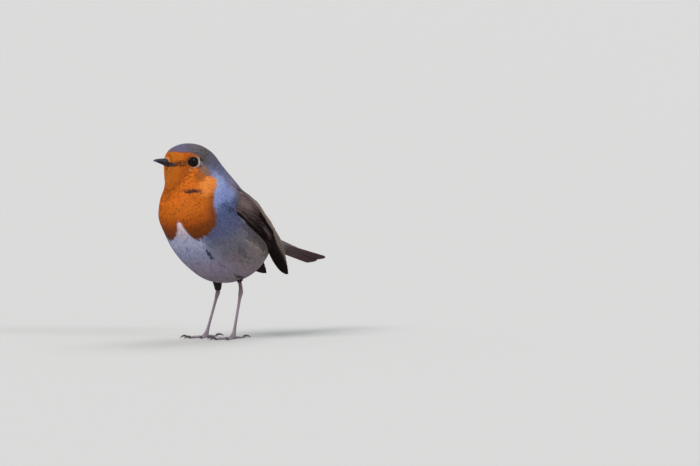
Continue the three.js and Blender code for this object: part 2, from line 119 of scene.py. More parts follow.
# ---- Skin --------------------------------------------------------------------------------------------------
# The bird's body is a thin soft skin that carries the coat, from the base of the bill to the root of the
# tail and down each thigh. It is one closed surface, inside the coat's outline by the coat's depth.
RIBS = np.array([  # y and z of the upper outline, y and z of the lower outline, and the half-width
    (-36.8, 99.8, -37.0, 93.4, 2.6),  # base of the bill
    (-36.4, 103.0, -36.8, 90.2, 5.4),  # forehead and chin
    (-32.4, 106.2, -36.6, 86.2, 7.9),
    (-25.6, 107.9, -36.8, 82.8, 9.5),  # crown and throat
    (-17.6, 106.9, -38.2, 79.4, 10.4),
    (-10.8, 103.0, -40.4, 75.4, 12.4),
    (-5.2, 96.5, -41.2, 70.4, 16.2),  # nape
    (1.8, 89.3, -39.6, 64.0, 20.4),  # mantle and full breast
    (9.8, 81.2, -34.0, 56.4, 22.7),
    (18.2, 73.2, -26.1, 46.4, 23.6),  # back and belly
    (24.8, 66.8, -15.2, 37.3, 22.9),
    (29.2, 62.0, -1.8, 30.7, 20.4),
    (33.0, 58.8, 11.6, 31.6, 15.8),  # rump and vent
    (37.4, 57.0, 24.0, 39.2, 10.6),
    (43.0, 55.0, 36.0, 45.0, 7.4),  # tail coverts
    (50.0, 52.4, 48.6, 46.6, 4.8),
])
LAST_RIB = len(RIBS) - 1
COAT_END = LAST_RIB + 3  # the tail coverts' coat goes on past the last rib, over the tail's root
COVERTS_START, COVERT_REACH = 23.6, 6.5  # along the tail: at the last rib, and for each rib number past it
COVERTS_HALF, COVERTS_HIGH, COVERTS_LEVEL = 4.9, 2.9, -1.0  # over the tail's root
TAIL_BASE = np.array((0, 25.9, 55.8))
TAIL_DROOP, TAIL_ROLL = math.radians(14.6), math.radians(20)  # below the horizontal; right edge lower
SQUARENESS = 2.2  # of a rib's outline; 2 is an ellipse
HEAD_TURN = math.radians(22)  # to the bird's right
NECK_Y = -19  # of the upright line that the head turns about


def eased(low, high, value):
    """A soft step in value: 0 up to low, and 1 from high on."""
    share = np.clip((value - low) / (high - low), 0, 1)
    return share * share * (3 - 2 * share)


def along_curve(points, shares):
    """Places on a smooth centripetal curve through points, at shares of the way from first to last."""
    points = np.asarray(points, float)
    p = np.concatenate([2 * points[:1] - points[1:2], points, 2 * points[-1:] - points[-2:-1]])
    place = np.clip(np.asarray(shares, float), 0, 1) * (len(points) - 1)
    first = np.minimum(place.astype(int), len(points) - 2)
    w = (place - first)[..., None]
    a, b, c, d = (p[first + k] for k in range(4))
    before, within, after = (
        np.linalg.norm(y - x, axis=-1, keepdims=True) ** 0.5 for x, y in ((a, b), (b, c), (c, d))
    )
    leaving = ((b - a) / before - (c - a) / (before + within)) * within + (c - b)
    reaching = (c - b) - ((d - b) / (within + after) - (d - c) / after) * within
    bend = (3 * (c - b) - 2 * leaving - reaching) * w**2
    return b + leaving * w + bend + (2 * (b - c) + leaving + reaching) * w**3


def head_turned(points, angle=HEAD_TURN):
    """Points of the head as it looks straight ahead, turned about the neck."""
    x, y = points[..., 0], points[..., 1] - NECK_Y
    return np.stack([
        x * np.cos(angle) + y * np.sin(angle),
        NECK_Y + y * np.cos(angle) - x * np.sin(angle),
        points[..., 2],
    ], axis=-1)


def tail_placed(points):
    """Points of the tail as drawn flat behind its base, turned to the tail's roll and droop."""
    roll, droop = (np.array([math.cos(a), math.sin(a)]) for a in (TAIL_ROLL, TAIL_DROOP))
    x, y, z = points[..., 0], points[..., 1], points[..., 2]
    x, z = x * roll[0] - z * roll[1], x * roll[1] + z * roll[0]
    return TAIL_BASE + np.stack([x, y * droop[0] + z * droop[1], z * droop[0] - y * droop[1]], axis=-1)


# Each eye fills the opening between its lids, which is a little longer than high. The middle of the ball and
# its size are the solid eye's.
EYE_OPENING = 2.8  # mean radius of the opening
OPENING_LONG, OPENING_HIGH = 1.12, 0.92  # its half-length and half-height as shares of that
RIM_FLAT, RIM_FOOT, RIM_RISE = 0.6, 2.8, 0.32  # of the coat round it: breadth of its top, its foot, height


def eye_measures(name, side):
    """A solid eye's middle and radius in the robin's own millimetres, and the way it looks."""
    low, high = (np.array(corner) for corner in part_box(name))
    middle = ((low + high) / 2 - stand) * 1000
    outwards = side * np.array([math.cos(HEAD_TURN), -math.sin(HEAD_TURN), 0])
    return {"middle": middle, "radius": (high[2] - low[2]) * 500, "outwards": outwards}


SIDES = {"left": 1, "right": -1}
TO_BILL = np.array([-math.sin(HEAD_TURN), -math.cos(HEAD_TURN), 0])
eyes = {name: eye_measures(f"eye_{name}", side) for name, side in SIDES.items()}


def from_eye(points, eye):
    """How far points lie from the eye's outward line, in the opening's own proportions, how far out along it
    from the ball's middle, and how far out the opening's edge is on that side."""
    offset = points - eye["middle"]
    out = offset @ eye["outwards"]
    forward, up = offset @ TO_BILL, offset[..., 2]
    aside = np.hypot(forward / OPENING_LONG, up / OPENING_HIGH)
    true_opening = EYE_OPENING * np.hypot(forward, up) / np.maximum(aside, 1e-6)
    return aside, out, np.sqrt(eye["radius"] ** 2 - true_opening**2)


def round_the_eyes(points):
    """The coat's surface rises to a low rim round each eye, level with the lids."""
    for eye in eyes.values():
        aside, out, rim = from_eye(points, eye)
        near = np.where(out > 0, 1 - eased(EYE_OPENING + RIM_FLAT, EYE_OPENING + RIM_FOOT, aside), 0)
        points = points + (near * (rim + RIM_RISE - out))[..., None] * eye["outwards"]
    return points


WING_LOWER = np.array([  # the folded left wing's lower edge, from its wrist to the tip of its longest primary
    (22.6, -16.6, 73.9), (23.6, -1.6, 62.9), (22.6, 6.9, 57.9), (20.2, 16.4, 51.8),
    (17.0, 24.1, 45.4), (14.2, 30.8, 40.7), (11.0, 40.0, 35.3), (8.6, 48.4, 32.6),
])
WING_UPPER = np.array([  # and its upper edge, from the shoulder over the tertials to the same tip
    (16.0, -9.0, 84.6), (13.0, 12.0, 76.6), (12.5, 19.0, 71.0), (11.8, 28.0, 63.6),
    (11.0, 35.9, 56.5), (10.3, 41.8, 50.2), (9.2, 46.6, 42.0), (8.4, 49.6, 33.8),
])
WING_BULGE, WING_WIDTH = 3.2, 20  # of the outer face, where the wing is so wide
WING_PRESSED = 2.0  # how far under the wing's outer face the flank's skin lies
WING_DEEP = 12  # skin further in than this isn't moved by a wing


def wing_place(t, v, out=0.0):
    """Where t along the left wing, v up it and out from its face lies, with the outward direction there."""
    low, high = along_curve(WING_LOWER, t), along_curve(WING_UPPER, t)
    step = 0.004
    back, ahead = np.clip(t - step, 0, 1), np.clip(t + step, 0, 1)
    along = sum(along_curve(edge, ahead) - along_curve(edge, back) for edge in (WING_LOWER, WING_UPPER))
    chord = high - low
    outwards = np.cross(chord, along)
    outwards *= np.sign(outwards[..., :1]) / np.linalg.norm(outwards, axis=-1, keepdims=True)
    bulge = WING_BULGE * np.sin(np.pi * v) * (np.linalg.norm(chord, axis=-1) / WING_WIDTH) ** 1.5
    return low + chord * np.asarray(v)[..., None] + outwards * (bulge + out)[..., None], outwards


wing_t, wing_v = np.meshgrid(np.linspace(0, 1, 160), np.linspace(0, 1, 48), indexing="ij")
wing_samples, wing_outwards = (values.reshape(-1, 3) for values in wing_place(wing_t, wing_v))
wing_t, wing_v = wing_t.ravel(), wing_v.ravel()


def tree_of(points):
    """A tree that finds the nearest of points."""
    tree = kdtree.KDTree(len(points))
    for index, point in enumerate(points):
        tree.insert(point, index)
    tree.balance()
    return tree


def nearest_in(tree, points):
    """The number of the tree's point that lies nearest to each point."""
    return np.array([tree.find(point)[1] for point in points])


def to_left(points):
    """Factors that mirror each point on the right to the left, and back."""
    return np.where(points[:, :1] < 0, (-1.0, 1.0, 1.0), 1.0)


wing_tree = tree_of(wing_samples)
upper_edge, _ = wing_place(np.linspace(0, 1, 300), np.full(300, 0.97), -0.8)
upper_edge_tree = tree_of(upper_edge)


def from_wing(points):
    """For each point the t and v of the nearest wing's nearest place, how far it lies outside the wing's
    edges, how far out from its face, and the outward direction there."""
    mirror = to_left(points)
    found = nearest_in(wing_tree, points * mirror)
    offset = points * mirror - wing_samples[found]
    outwards = wing_outwards[found]
    out = (offset * outwards).sum(axis=-1)
    beyond = np.linalg.norm(offset - outwards * out[:, None], axis=-1)
    return wing_t[found], wing_v[found], beyond, out, outwards * mirror


def under_body(t, v):
    """1 at the wrist and along the shoulder, which body feathers cover, and 0 where the wing covers them."""
    return np.maximum(1 - eased(0.01, 0.07, t), eased(0.84, 0.95, v) * (1 - eased(0.3, 0.45, t)))


def up_to_wings(points):
    """The back's feathers fill it up to each folded wing's upper edge, behind the shoulder."""
    mirror = to_left(points)
    way = upper_edge[nearest_in(upper_edge_tree, points * mirror)] * mirror - points
    t, v, *_ = from_wing(points)
    share = 0.9 * (1 - eased(3.0, 9.0, np.linalg.norm(way, axis=-1))) * eased(0.8, 0.99, v)
    return points + way * (share * eased(0.26, 0.42, t) * (1 - eased(0.74, 0.9, t)))[:, None]


def body_outline(u, phi):
    """The coat's outer surface at rib u and at the angle phi round it, from the back's middle to the left."""
    rib = along_curve(RIBS, np.minimum(u / LAST_RIB, 1))
    rounded = [np.sign(c) * np.abs(c) ** (2 / SQUARENESS) for c in (np.sin(phi), np.cos(phi))]
    up = (0.5 + 0.5 * rounded[1])[..., None]
    middle = rib[..., 2:4] + (rib[..., 0:2] - rib[..., 2:4]) * up
    points = np.concatenate([(rib[..., 4] * rounded[0])[..., None], middle], axis=-1)
    points = round_the_eyes(head_turned(points, HEAD_TURN * (1 - eased(4, 7, u))))
    past = (u - LAST_RIB)[..., None]
    narrowing = 1 - 0.08 * past
    over_tail = np.concatenate([
        COVERTS_HALF * narrowing * np.sin(phi)[..., None],
        COVERTS_START + COVERT_REACH * past,
        COVERTS_LEVEL + (COVERTS_HIGH - 0.45 * past) * narrowing * np.cos(phi)[..., None],
    ], axis=-1)
    points = points + (tail_placed(over_tail) - points) * eased(-1.0, 0.4, past)
    return up_to_wings(points.reshape(-1, 3)).reshape(points.shape)


def body_depth(u, phi):
    """How far the skin lies under the coat's outline: least on the face, and most on the body."""
    return 0.4 + 0.3 * eased(1.5, 4, u) + 0.7 * eased(4.5, 8, u) - 0.3 * eased(12, 15, u)


class Form:
    """A feathered form, as a table over (u, phi). The coat lies along u, and phi runs once round the form."""

    def __init__(self, outline, depth, last, steps=16, round_steps=240):
        self.last, self.steps, self.round_steps = last, steps, round_steps
        u = np.linspace(0, last, int(last * steps) + 1)
        phi = np.linspace(-math.pi, math.pi, round_steps + 1)
        grid = np.meshgrid(u, phi, indexing="ij")
        outer = outline(*grid)
        along = np.gradient(outer, u, axis=0)
        ring = outer[:, :-1]
        across = (np.roll(ring, -1, axis=1) - np.roll(ring, 1, axis=1)) / (2 * (phi[1] - phi[0]))
        across = np.concatenate([across, across[:, :1]], axis=1)
        normal = np.cross(across, along)
        normal /= np.linalg.norm(normal, axis=-1, keepdims=True)
        sizes = [np.linalg.norm(v, axis=-1, keepdims=True) for v in (along, across)]
        deep = depth(*grid)[..., None]
        self.table = np.concatenate([outer, normal, *sizes, deep], axis=-1)
        self.inner = outer - normal * deep
        self.area = (sizes[0] * sizes[1])[..., 0] * (u[1] - u[0]) * (phi[1] - phi[0])
        lengths = np.cumsum(sizes[0][..., 0].mean(axis=1))
        self.unrolled = lengths / lengths[-1]

    def look_up(self, u, phi):
        """Outer point, outward direction, lengths of a step in u and in phi, and depth, at each place."""
        row = np.clip(u, 0, self.last) * self.steps
        column = ((phi / (2 * math.pi) + 0.5) % 1) * self.round_steps
        i = np.minimum(row.astype(int), self.table.shape[0] - 2)
        j = np.minimum(column.astype(int), self.round_steps - 1)
        a, b = (row - i)[..., None], (column - j)[..., None]
        t = self.table
        found = (1 - a) * ((1 - b) * t[i, j] + b * t[i, j + 1])
        found += a * ((1 - b) * t[i + 1, j] + b * t[i + 1, j + 1])
        return found[..., 0:3], found[..., 3:6], found[..., 6], found[..., 7], found[..., 8]

    def skin(self, every=2, end=None):
        """The skin under the coat, up to u = end, as points and faces of a closed tube."""
        rows = int((self.last if end is None else end) * self.steps) + 1
        return closed_tube(self.inner[:rows:every, :-1:every])


def closed_tube(rings):
    """Points and faces of a tube through rings of equally many points, capped with a fan at each end."""
    count, sides = rings.shape[:2]
    points = np.concatenate([rings.reshape(-1, 3), rings[0].mean(0)[None], rings[-1].mean(0)[None]])
    base = np.arange(count - 1)[:, None] * sides
    s = np.arange(sides)
    after = (s + 1) % sides
    walls = np.stack([base + s, base + after, base + sides + after, base + sides + s], -1).reshape(-1, 4)
    start, end = count * sides, count * sides + 1
    last = (count - 1) * sides
    caps = [(start, int(b), int(a)) for a, b in zip(s, after)]
    caps += [(end, int(last + a), int(last + b)) for a, b in zip(s, after)]
    return points, [tuple(map(int, face)) for face in walls] + caps


def piece_of(name, points, faces, material=None):
    """A new smooth object of points in the robin's millimetres."""
    mesh = bpy.data.meshes.new(name)
    mesh.from_pydata(placed(points).tolist(), [], faces)
    mesh.update()
    mesh.shade_smooth()
    if material:
        mesh.materials.append(material)
    return added(name, mesh)


THIGH_SECTIONS = np.array([  # share of the way from hip to ankle, half-width across and along the bird
    (0.0, 3.6, 4.2), (0.38, 2.5, 3.0), (0.66, 1.65, 1.95), (0.85, 1.2, 1.35), (1.0, 0.95, 1.05),
    (1.3, 0.9, 1.0),
])
LEGS = {  # the middle of the ankle joint and of the hip, and how far above the ankle the feathers end
    name: {"side": SIDES[name], "ankle": np.array(ankle), "hip": np.array(hip), "bare": bare}
    for name, ankle, hip, bare in (
        ("left", (9.5, 6.9, 26.2), (9.0, 4.2, 41.0), 5.2),
        ("right", (-9.5, 9.6, 25.0), (-9.0, 7.4, 39.0), 0.6),
    )
}
THIGH_LAST, THIGH_REACH = 4, 5  # where its skin ends, and how far its feathers reach on down the leg


def thigh_outline(leg):
    """The outline of a thigh's coat, from the hip at u = 0 down to where the leg is bare and on past it."""
    upwards = (leg["hip"] - leg["ankle"]) / (leg["hip"] - leg["ankle"])[2]
    ankle, hip = leg["ankle"] + upwards * leg["bare"], leg["hip"]

    def outline(u, phi):
        share = (u / THIGH_LAST)[..., None]
        across, along = (np.interp(share[..., 0], THIGH_SECTIONS[:, 0], THIGH_SECTIONS[:, k]) for k in (1, 2))
        level = np.stack([-across * np.sin(phi), along * np.cos(phi), np.zeros_like(phi)], axis=-1)
        return hip + (ankle - hip) * share + level

    return outline


def thigh_depth(u, phi):
    return 1.1 - 0.35 * u / THIGH_LAST


body = Form(body_outline, body_depth, COAT_END)
thighs = {
    name: Form(thigh_outline(leg), thigh_depth, THIGH_REACH, round_steps=48) for name, leg in LEGS.items()
}


def with_eye_openings(points):
    """The skin is drawn in behind each eyeball's front, and rises to its lids around it."""
    for eye in eyes.values():
        aside, out, rim = from_eye(points, eye)
        inside = np.where(out > 0, 1 - eased(EYE_OPENING + 0.1, EYE_OPENING + 0.45, aside), 0)
        near_rim = np.where(out > 0, 1 - eased(EYE_OPENING + 0.3, EYE_OPENING + 1.6, aside), 0)
        lifted = out + near_rim * (rim + 0.05 - out)
        wanted = inside * np.minimum(out, rim - 1.0) + (1 - inside) * lifted
        points = points + (wanted - out)[:, None] * eye["outwards"]
    return points


def joined(tubes):
    """One object's points and faces from several tubes' points and faces."""
    points, faces, start = [], [], 0
    for tube_points, tube_faces in tubes:
        points.append(tube_points)
        faces += [tuple(corner + start for corner in face) for face in tube_faces]
        start += len(tube_points)
    return np.concatenate(points), faces


def fused(made, voxel, smoothing):
    """The object's overlapping closed tubes become one closed surface, with soft creases between them."""
    remesh = made.modifiers.new("fuse", "REMESH")
    remesh.mode, remesh.voxel_size = "VOXEL", voxel / 1000
    smooth = made.modifiers.new("soften", "SMOOTH")
    smooth.factor, smooth.iterations = 0.5, smoothing
    bpy.context.view_layer.update()
    depsgraph = bpy.context.evaluated_depsgraph_get()
    fused_mesh = bpy.data.meshes.new_from_object(made.evaluated_get(depsgraph))
    made.modifiers.clear()
    made.data = fused_mesh
    fused_mesh.shade_smooth()
    return made


def points_of(mesh):
    """A mesh's points in the robin's own millimetres."""
    points = np.empty(len(mesh.vertices) * 3)
    mesh.vertices.foreach_get("co", points)
    return (points.reshape(-1, 3) - stand) * 1000


def pressed_by_wings(points):
    """The skin under a folded wing gives way to it."""
    _, _, beyond, out, outwards = from_wing(points)
    under = (1 - eased(0.5, 3.0, beyond)) * (out > -WING_DEEP)
    return points - outwards * (under * np.maximum(out + WING_PRESSED, 0))[:, None]


SKIN_VOXEL = 0.5
thigh_skins = [thigh.skin(every=1, end=THIGH_LAST) for thigh in thighs.values()]
skin = piece_of("skin", *joined([body.skin(end=LAST_RIB), *thigh_skins]))
fused(skin, SKIN_VOXEL, smoothing=3)
skin_points = with_eye_openings(pressed_by_wings(points_of(skin.data)))
skin.data.vertices.foreach_set("co", placed(skin_points).ravel())


def nearest_places(form, points):
    """The (u, phi) of the form's skin that each point lies nearest to."""
    found = nearest_in(tree_of(form.inner[:, :-1].reshape(-1, 3)), points)
    rows, columns = np.divmod(found, form.round_steps)
    return rows / form.steps, (columns / form.round_steps - 0.5) * 2 * math.pi


def set_vectors(mesh, name, values):
    """Three numbers for each of a mesh's points, which its material reads."""
    mesh.attributes.new(name, "FLOAT_VECTOR", "POINT").data.foreach_set("vector", values.ravel())


def set_bake_map(mesh, uv_of_points):
    """The map that materials are baked on, from one place for each point."""
    corners = np.empty(len(mesh.loops), dtype=np.int32)
    mesh.loops.foreach_get("vertex_index", corners)
    mesh.uv_layers.new(name="OFBake").data.foreach_set("uv", uv_of_points[corners].ravel())


def piece_of_triangles(name, points, triangles):
    """A new smooth object of many triangles, from arrays."""
    mesh = bpy.data.meshes.new(name)
    mesh.vertices.add(len(points))
    mesh.vertices.foreach_set("co", placed(points).ravel())
    mesh.loops.add(triangles.size)
    mesh.loops.foreach_set("vertex_index", triangles.ravel().astype(np.int32))
    mesh.polygons.add(len(triangles))
    mesh.polygons.foreach_set("loop_start", np.arange(0, triangles.size, 3, dtype=np.int32))
    mesh.update(calc_edges=True)
    mesh.shade_smooth()
    return added(name, mesh)


skin_u, skin_phi = nearest_places(body, skin_points)
skin_lie = np.stack([skin_u / COAT_END, skin_phi / math.pi, np.full(len(skin_u), 0.35)], axis=-1)
set_vectors(skin.data, "lie", skin_lie)
on_thigh = np.zeros(len(skin_u))
for leg in LEGS.values():
    bone = leg["hip"] - leg["ankle"]
    along_leg = (skin_points - leg["ankle"]) @ bone / (bone**2).sum()
    from_bone = skin_points - leg["ankle"] - along_leg[:, None] * bone
    near = 1 - eased(3.0, 4.5, np.linalg.norm(from_bone, axis=-1))
    on_thigh = np.maximum(on_thigh, near * (1 - eased(0.5, 0.8, along_leg)))
even = np.full_like(on_thigh, 0.5)
# Round each thigh the skin is painted dark brown, as painted shade under the belly.
set_vectors(skin.data, "tint", np.stack([even, even, -on_thigh], axis=-1))
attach(skin, "root")
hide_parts("head", "neck", "breast", "belly", "rump", "thigh_left", "thigh_right")

# ---- Eyes --------------------------------------------------------------------------------------------------
# Each eye is a moist, nearly black ball behind a clear front, in the round opening between two thin bare
# lids. A close ring of tiny pale feathers grows round the lids.


def paint(code):
    """A colour written #rrggbb, or the grey of a number, as the shader wants it."""
    if not isinstance(code, str):
        return (code, code, code, 1)
    values = [int(code[k : k + 2], 16) / 255 for k in (1, 3, 5)]
    return (*(v / 12.92 if v <= 0.04045 else ((v + 0.055) / 1.055) ** 2.4 for v in values), 1)


class Wire:
    """An output of a material's nodes, with which shader maths is written as plain expressions."""

    def __init__(self, tree, socket=None):
        self.tree, self.socket = tree, socket

    def made(self, kind, settings=(), sockets=(), output=0):
        """One output of a new node of a kind, with its settings and its sockets' values, codes or links."""
        node = self.tree.nodes.new(kind)
        for name, value in dict(settings).items():
            if name == "stops":
                ramp = node.color_ramp
                while len(ramp.elements) < len(value):
                    ramp.elements.new(1)
                for element, (position, colour) in zip(ramp.elements, value):
                    element.position, element.color = position, paint(colour)
            elif name == "stops_between":
                node.color_ramp.interpolation = value
            else:
                setattr(node, name, value)
        for key, value in dict(sockets).items():
            if isinstance(value, Wire):
                self.tree.links.new(value.socket, node.inputs[key])
            else:
                node.inputs[key].default_value = paint(value) if isinstance(value, str) else value
        return Wire(self.tree, node.outputs[output])

    def into(self, socket):
        """Feeds this into one of a shader's sockets."""
        self.tree.links.new(self.socket, socket)

    def maths(self, operation, *values):
        return self.made("ShaderNodeMath", {"operation": operation}, dict(enumerate(values)))

    def __add__(self, other):
        return self.maths("ADD", self, other)

    def __radd__(self, other):
        return self.maths("ADD", other, self)

    def __sub__(self, other):
        return self.maths("SUBTRACT", self, other)

    def __rsub__(self, other):
        return self.maths("SUBTRACT", other, self)

    def __mul__(self, other):
        return self.maths("MULTIPLY", self, other)

    def __rmul__(self, other):
        return self.maths("MULTIPLY", other, self)

    def __abs__(self):
        return self.maths("ABSOLUTE", self)

    def least(self, other):
        return self.maths("MINIMUM", self, other)

    def most(self, other):
        return self.maths("MAXIMUM", self, other)

    def rising(self, low, high):
        """0 below low and 1 above high, with a soft step between."""
        sockets = {0: self, 1: low, 2: high}
        return self.made("ShaderNodeMapRange", {"interpolation_type": "SMOOTHSTEP"}, sockets)

    def read(self, stops, between="EASE"):
        """What the stops, pairs of a position from 0 to 1 and a number or colour, give at this position."""
        settings = {"stops_between": between, "stops": stops}
        return self.made("ShaderNodeValToRGB", settings, {0: self})

    def choose(self, colour, other):
        """colour where this is 0 and other where it is 1."""
        return self.made("ShaderNodeMix", {"data_type": "RGBA"}, {0: self, 6: colour, 7: other}, 2)

    def dimmed(self, share):
        """This colour times a number."""
        return self.made("ShaderNodeVectorMath", {"operation": "SCALE"}, {0: self, "Scale": share})

    def relief(self, strength, depth):
        """The surface's directions if this were its height, over a depth in metres."""
        return self.made("ShaderNodeBump", (), {"Height": self, "Strength": strength, "Distance": depth})

    def attribute(self, name):
        """The three numbers that set_vectors gave the mesh under a name."""
        vector = self.made("ShaderNodeAttribute", {"attribute_name": name}, (), "Vector")
        return [self.made("ShaderNodeSeparateXYZ", (), {0: vector}, k) for k in range(3)]

    def noise(self, scale, detail=2.0):
        """Smooth noise from 0 to 1, of about scale patches in a metre."""
        place = self.made("ShaderNodeTexCoord", (), (), "Object")
        return self.made("ShaderNodeTexNoise", (), {"Vector": place, "Scale": scale, "Detail": detail})


def new_finish(name):
    """A material, a wire to start its maths from, and its main shader's sockets."""
    material = bpy.data.materials.new(name)
    material.use_nodes = True
    shader = material.node_tree.nodes["Principled BSDF"]
    return material, Wire(material.node_tree), shader.inputs


PUPIL_EDGE, IRIS_EDGE = 0.36, 0.60  # as shares of the ball's radius, seen from straight ahead of it
LID_MIDDLE, LID_HALF, LID_THICK = EYE_OPENING + 0.06, 0.17, 0.15


def about_eye(eye, aside, out, angle, proportions=(1, 1)):
    """Places round an eye's outward line. angle runs from the top towards the bill."""
    aside, out, angle = np.broadcast_arrays(aside, out, angle)
    up, forward = aside * np.cos(angle) * proportions[1], aside * np.sin(angle) * proportions[0]
    up, forward, out = (values[..., None] for values in (up, forward, out))
    return eye["middle"] + up * UPWARDS + forward * TO_BILL + out * eye["outwards"]


def on_lids(eye, aside, above, angle):
    """Places at aside times the opening's own proportions, and so far out above its edge."""
    proportions = (OPENING_LONG, OPENING_HIGH)
    edge = about_eye(eye, EYE_OPENING, 0, angle, proportions) - eye["middle"]
    rim = np.sqrt(eye["radius"] ** 2 - (edge**2).sum(axis=-1))
    return about_eye(eye, aside, rim + above, angle, proportions)


def closed_loop(rings):
    """Points and faces of a tube through rings, of which the last joins the first."""
    count, sides = rings.shape[:2]
    r, s = np.meshgrid(np.arange(count), np.arange(sides), indexing="ij")
    after_r, after_s = (r + 1) % count, (s + 1) % sides
    corners = [r * sides + s, r * sides + after_s, after_r * sides + after_s, after_r * sides + s]
    return rings.reshape(-1, 3), [tuple(map(int, face)) for face in np.stack(corners, -1).reshape(-1, 4)]


def whole_turn(steps):
    """So many angles, evenly all the way round."""
    return np.arange(steps) * 2 * math.pi / steps


eye_gloss, wire, sockets = new_finish("moist_eye")
aside = wire.attribute("from_middle")[0]
colour = aside.read([
    (0, "#020203"), (PUPIL_EDGE, "#030304"), (PUPIL_EDGE + 0.05, "#150b07"), (IRIS_EDGE - 0.08, "#110906"),
    (IRIS_EDGE + 0.03, "#040304"),
])
colour.into(sockets["Base Color"])
sockets["Roughness"].default_value = 0.35
sockets["Specular IOR Level"].default_value = 0
sockets["Coat Weight"].default_value = 0.7
sockets["Coat IOR"].default_value = 1.27
sockets["Coat Roughness"].default_value = 0.02

lid_skin, wire, sockets = new_finish("lid_skin")
wire.noise(2500).choose("#17110f", "#2f2622").into(sockets["Base Color"])
sockets["Roughness"].default_value = 0.55

for name, eye in eyes.items():
    polar = np.linspace(0.03, math.pi - 0.03, 44)
    rings = about_eye(
        eye, eye["radius"] * np.sin(polar)[:, None], eye["radius"] * np.cos(polar)[:, None], whole_turn(64)
    )
    ball = piece_of(f"eyeball_{name}", *closed_tube(rings), eye_gloss)
    offset = points_of(ball.data) - eye["middle"]
    from_middle = np.hypot(offset @ TO_BILL, offset[:, 2]) / eye["radius"]
    set_vectors(ball.data, "from_middle", np.stack([from_middle] * 3, axis=-1))
    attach(ball, "root")
    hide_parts(f"eye_{name}")

    section, around = whole_turn(10), whole_turn(80)[:, None]
    lid = on_lids(eye, LID_MIDDLE + LID_HALF * np.cos(section), LID_THICK * np.sin(section), around)
    lid = piece_of(f"lids_{name}", *closed_loop(lid), lid_skin)
    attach(lid, "root")

# ---- Bill --------------------------------------------------------------------------------------------------
# The bill is a slim cone of horn in two halves over bone. The upper one has a ridge, a slit of a nostril on
# each side and a slightly drooping tip, and it closes over the edges of the lower one.
BILL_LENGTH = 20.2  # from the plane of the eyes to the tip
EYE_PLANE_Y, EYE_LEVEL = -25.5, 98
BILL_SECTIONS = np.array([  # share of the length; heights of ridge, cutting edge and lower edge; half-width
    (0.36, 2.45, -2.3, -4.0, 3.1),
    (0.46, 2.25, -1.5, -3.4, 2.7),
    (0.54, 2.1, -0.9, -3.0, 2.35),
    (0.66, 2.0, -0.4, -2.2, 1.85),
    (0.78, 1.88, 0.1, -1.3, 1.38),
    (0.89, 1.68, 0.42, -0.45, 0.9),
    (0.955, 1.38, 0.5, 0.08, 0.52),
    (0.985, 1.05, 0.42, 0.2, 0.3),
    (1.0, 0.72, 0.4, 0.28, 0.1),
])
BILL_GAP = 0.08  # between the closed halves
LOWER_BILL = 0.972  # its length as a share of the upper one's
NOSTRIL_DEPTH, GROOVE_DEPTH = 0.42, 0.16


def hump(value, middle, width):
    """1 where value is at the middle, and next to 0 two widths from there."""
    return np.exp(-(((value - middle) / width) ** 2))


def in_head(x, y, z):
    """Points drawn from the middle of the plane of the eyes, placed on the turned head."""
    x, y, z = np.broadcast_arrays(x, y, z)
    return head_turned(np.stack([x, y + EYE_PLANE_Y, z + EYE_LEVEL], axis=-1))


def bill_half(upper):
    """Rings along the upper or lower half of the bill, and each ring point's share of its length."""
    along = along_curve(BILL_SECTIONS, np.linspace(0, 1, 56) ** 0.8)
    share, ridge, cutting, lower_edge, half = (along[:, k, None] for k in range(5))
    arch = np.linspace(-math.pi / 2, math.pi / 2, 19)
    floor = np.linspace(1, -1, 7)[1:-1]
    edge = ridge if upper else lower_edge
    level = cutting + (0 if upper else -BILL_GAP)
    width = half * (1.0 if upper else 0.93)
    x = np.concatenate([width * np.sin(arch) * np.abs(np.sin(arch)) ** 0.06, width * floor * 0.96], axis=1)
    height = np.cos(arch) ** (0.92 if upper else 0.8)
    palate = (1 if upper else -1) * 0.22 * np.cos(floor * math.pi / 2) * np.minimum(1, width / 1.2)
    z = np.concatenate([level + (edge - level) * height, level + palate], axis=1)
    y = -BILL_LENGTH * share * (1 if upper else LOWER_BILL)
    if upper:  # a slit of a nostril in a shallow groove on each side
        across = np.concatenate([np.sin(arch), floor * 0])
        raised = np.concatenate([height, floor * 0])
        slit = NOSTRIL_DEPTH * hump(share, 0.60, 0.045) * hump(raised, 0.50, 0.13)
        groove = GROOVE_DEPTH * hump(share, 0.58, 0.09) * hump(raised, 0.52, 0.25)
        x = x - np.sign(across) * (np.abs(across) > 0.3) * (slit + groove)
    return in_head(x, y, z), share + 0 * x


GAPE_END, GAPE_TAPER = 1.75, 1.1  # the rib where the gape ends, and how it narrows to there
GAPE_MIDDLE, GAPE_OPEN = 90, 17  # degrees round the face, and half-width in degrees at the bill
GAPE_SHARE = 0.5  # its place on the way along the bill, for its colour


def gape_corner(side, upper):
    """Half of the soft horny corner of the mouth, on the face from the bill's side to under the eye."""
    rib = np.linspace(0, GAPE_END, 24)[:, None]
    across = np.linspace(0, 1, 9)[None, :]
    narrowing = (1 - rib / GAPE_END) ** GAPE_TAPER
    degrees = GAPE_MIDDLE + (-1 if upper else 1) * (0.5 + GAPE_OPEN * narrowing * across)
    outer, normal, *_ = body.look_up(rib + 0 * across, side * np.radians(degrees))
    raised = (0.08 + 0.28 * narrowing * np.sqrt(across * (1 - across)) * 2)[..., None]
    ring = np.concatenate([outer + normal * raised, (outer - normal * 0.7)[:, ::-1]], axis=1)
    in_bill = ring[:1] + (in_head(0, -12.0, -1.2) - ring[:1]) * 0.4
    return closed_tube(np.concatenate([in_bill, ring]))


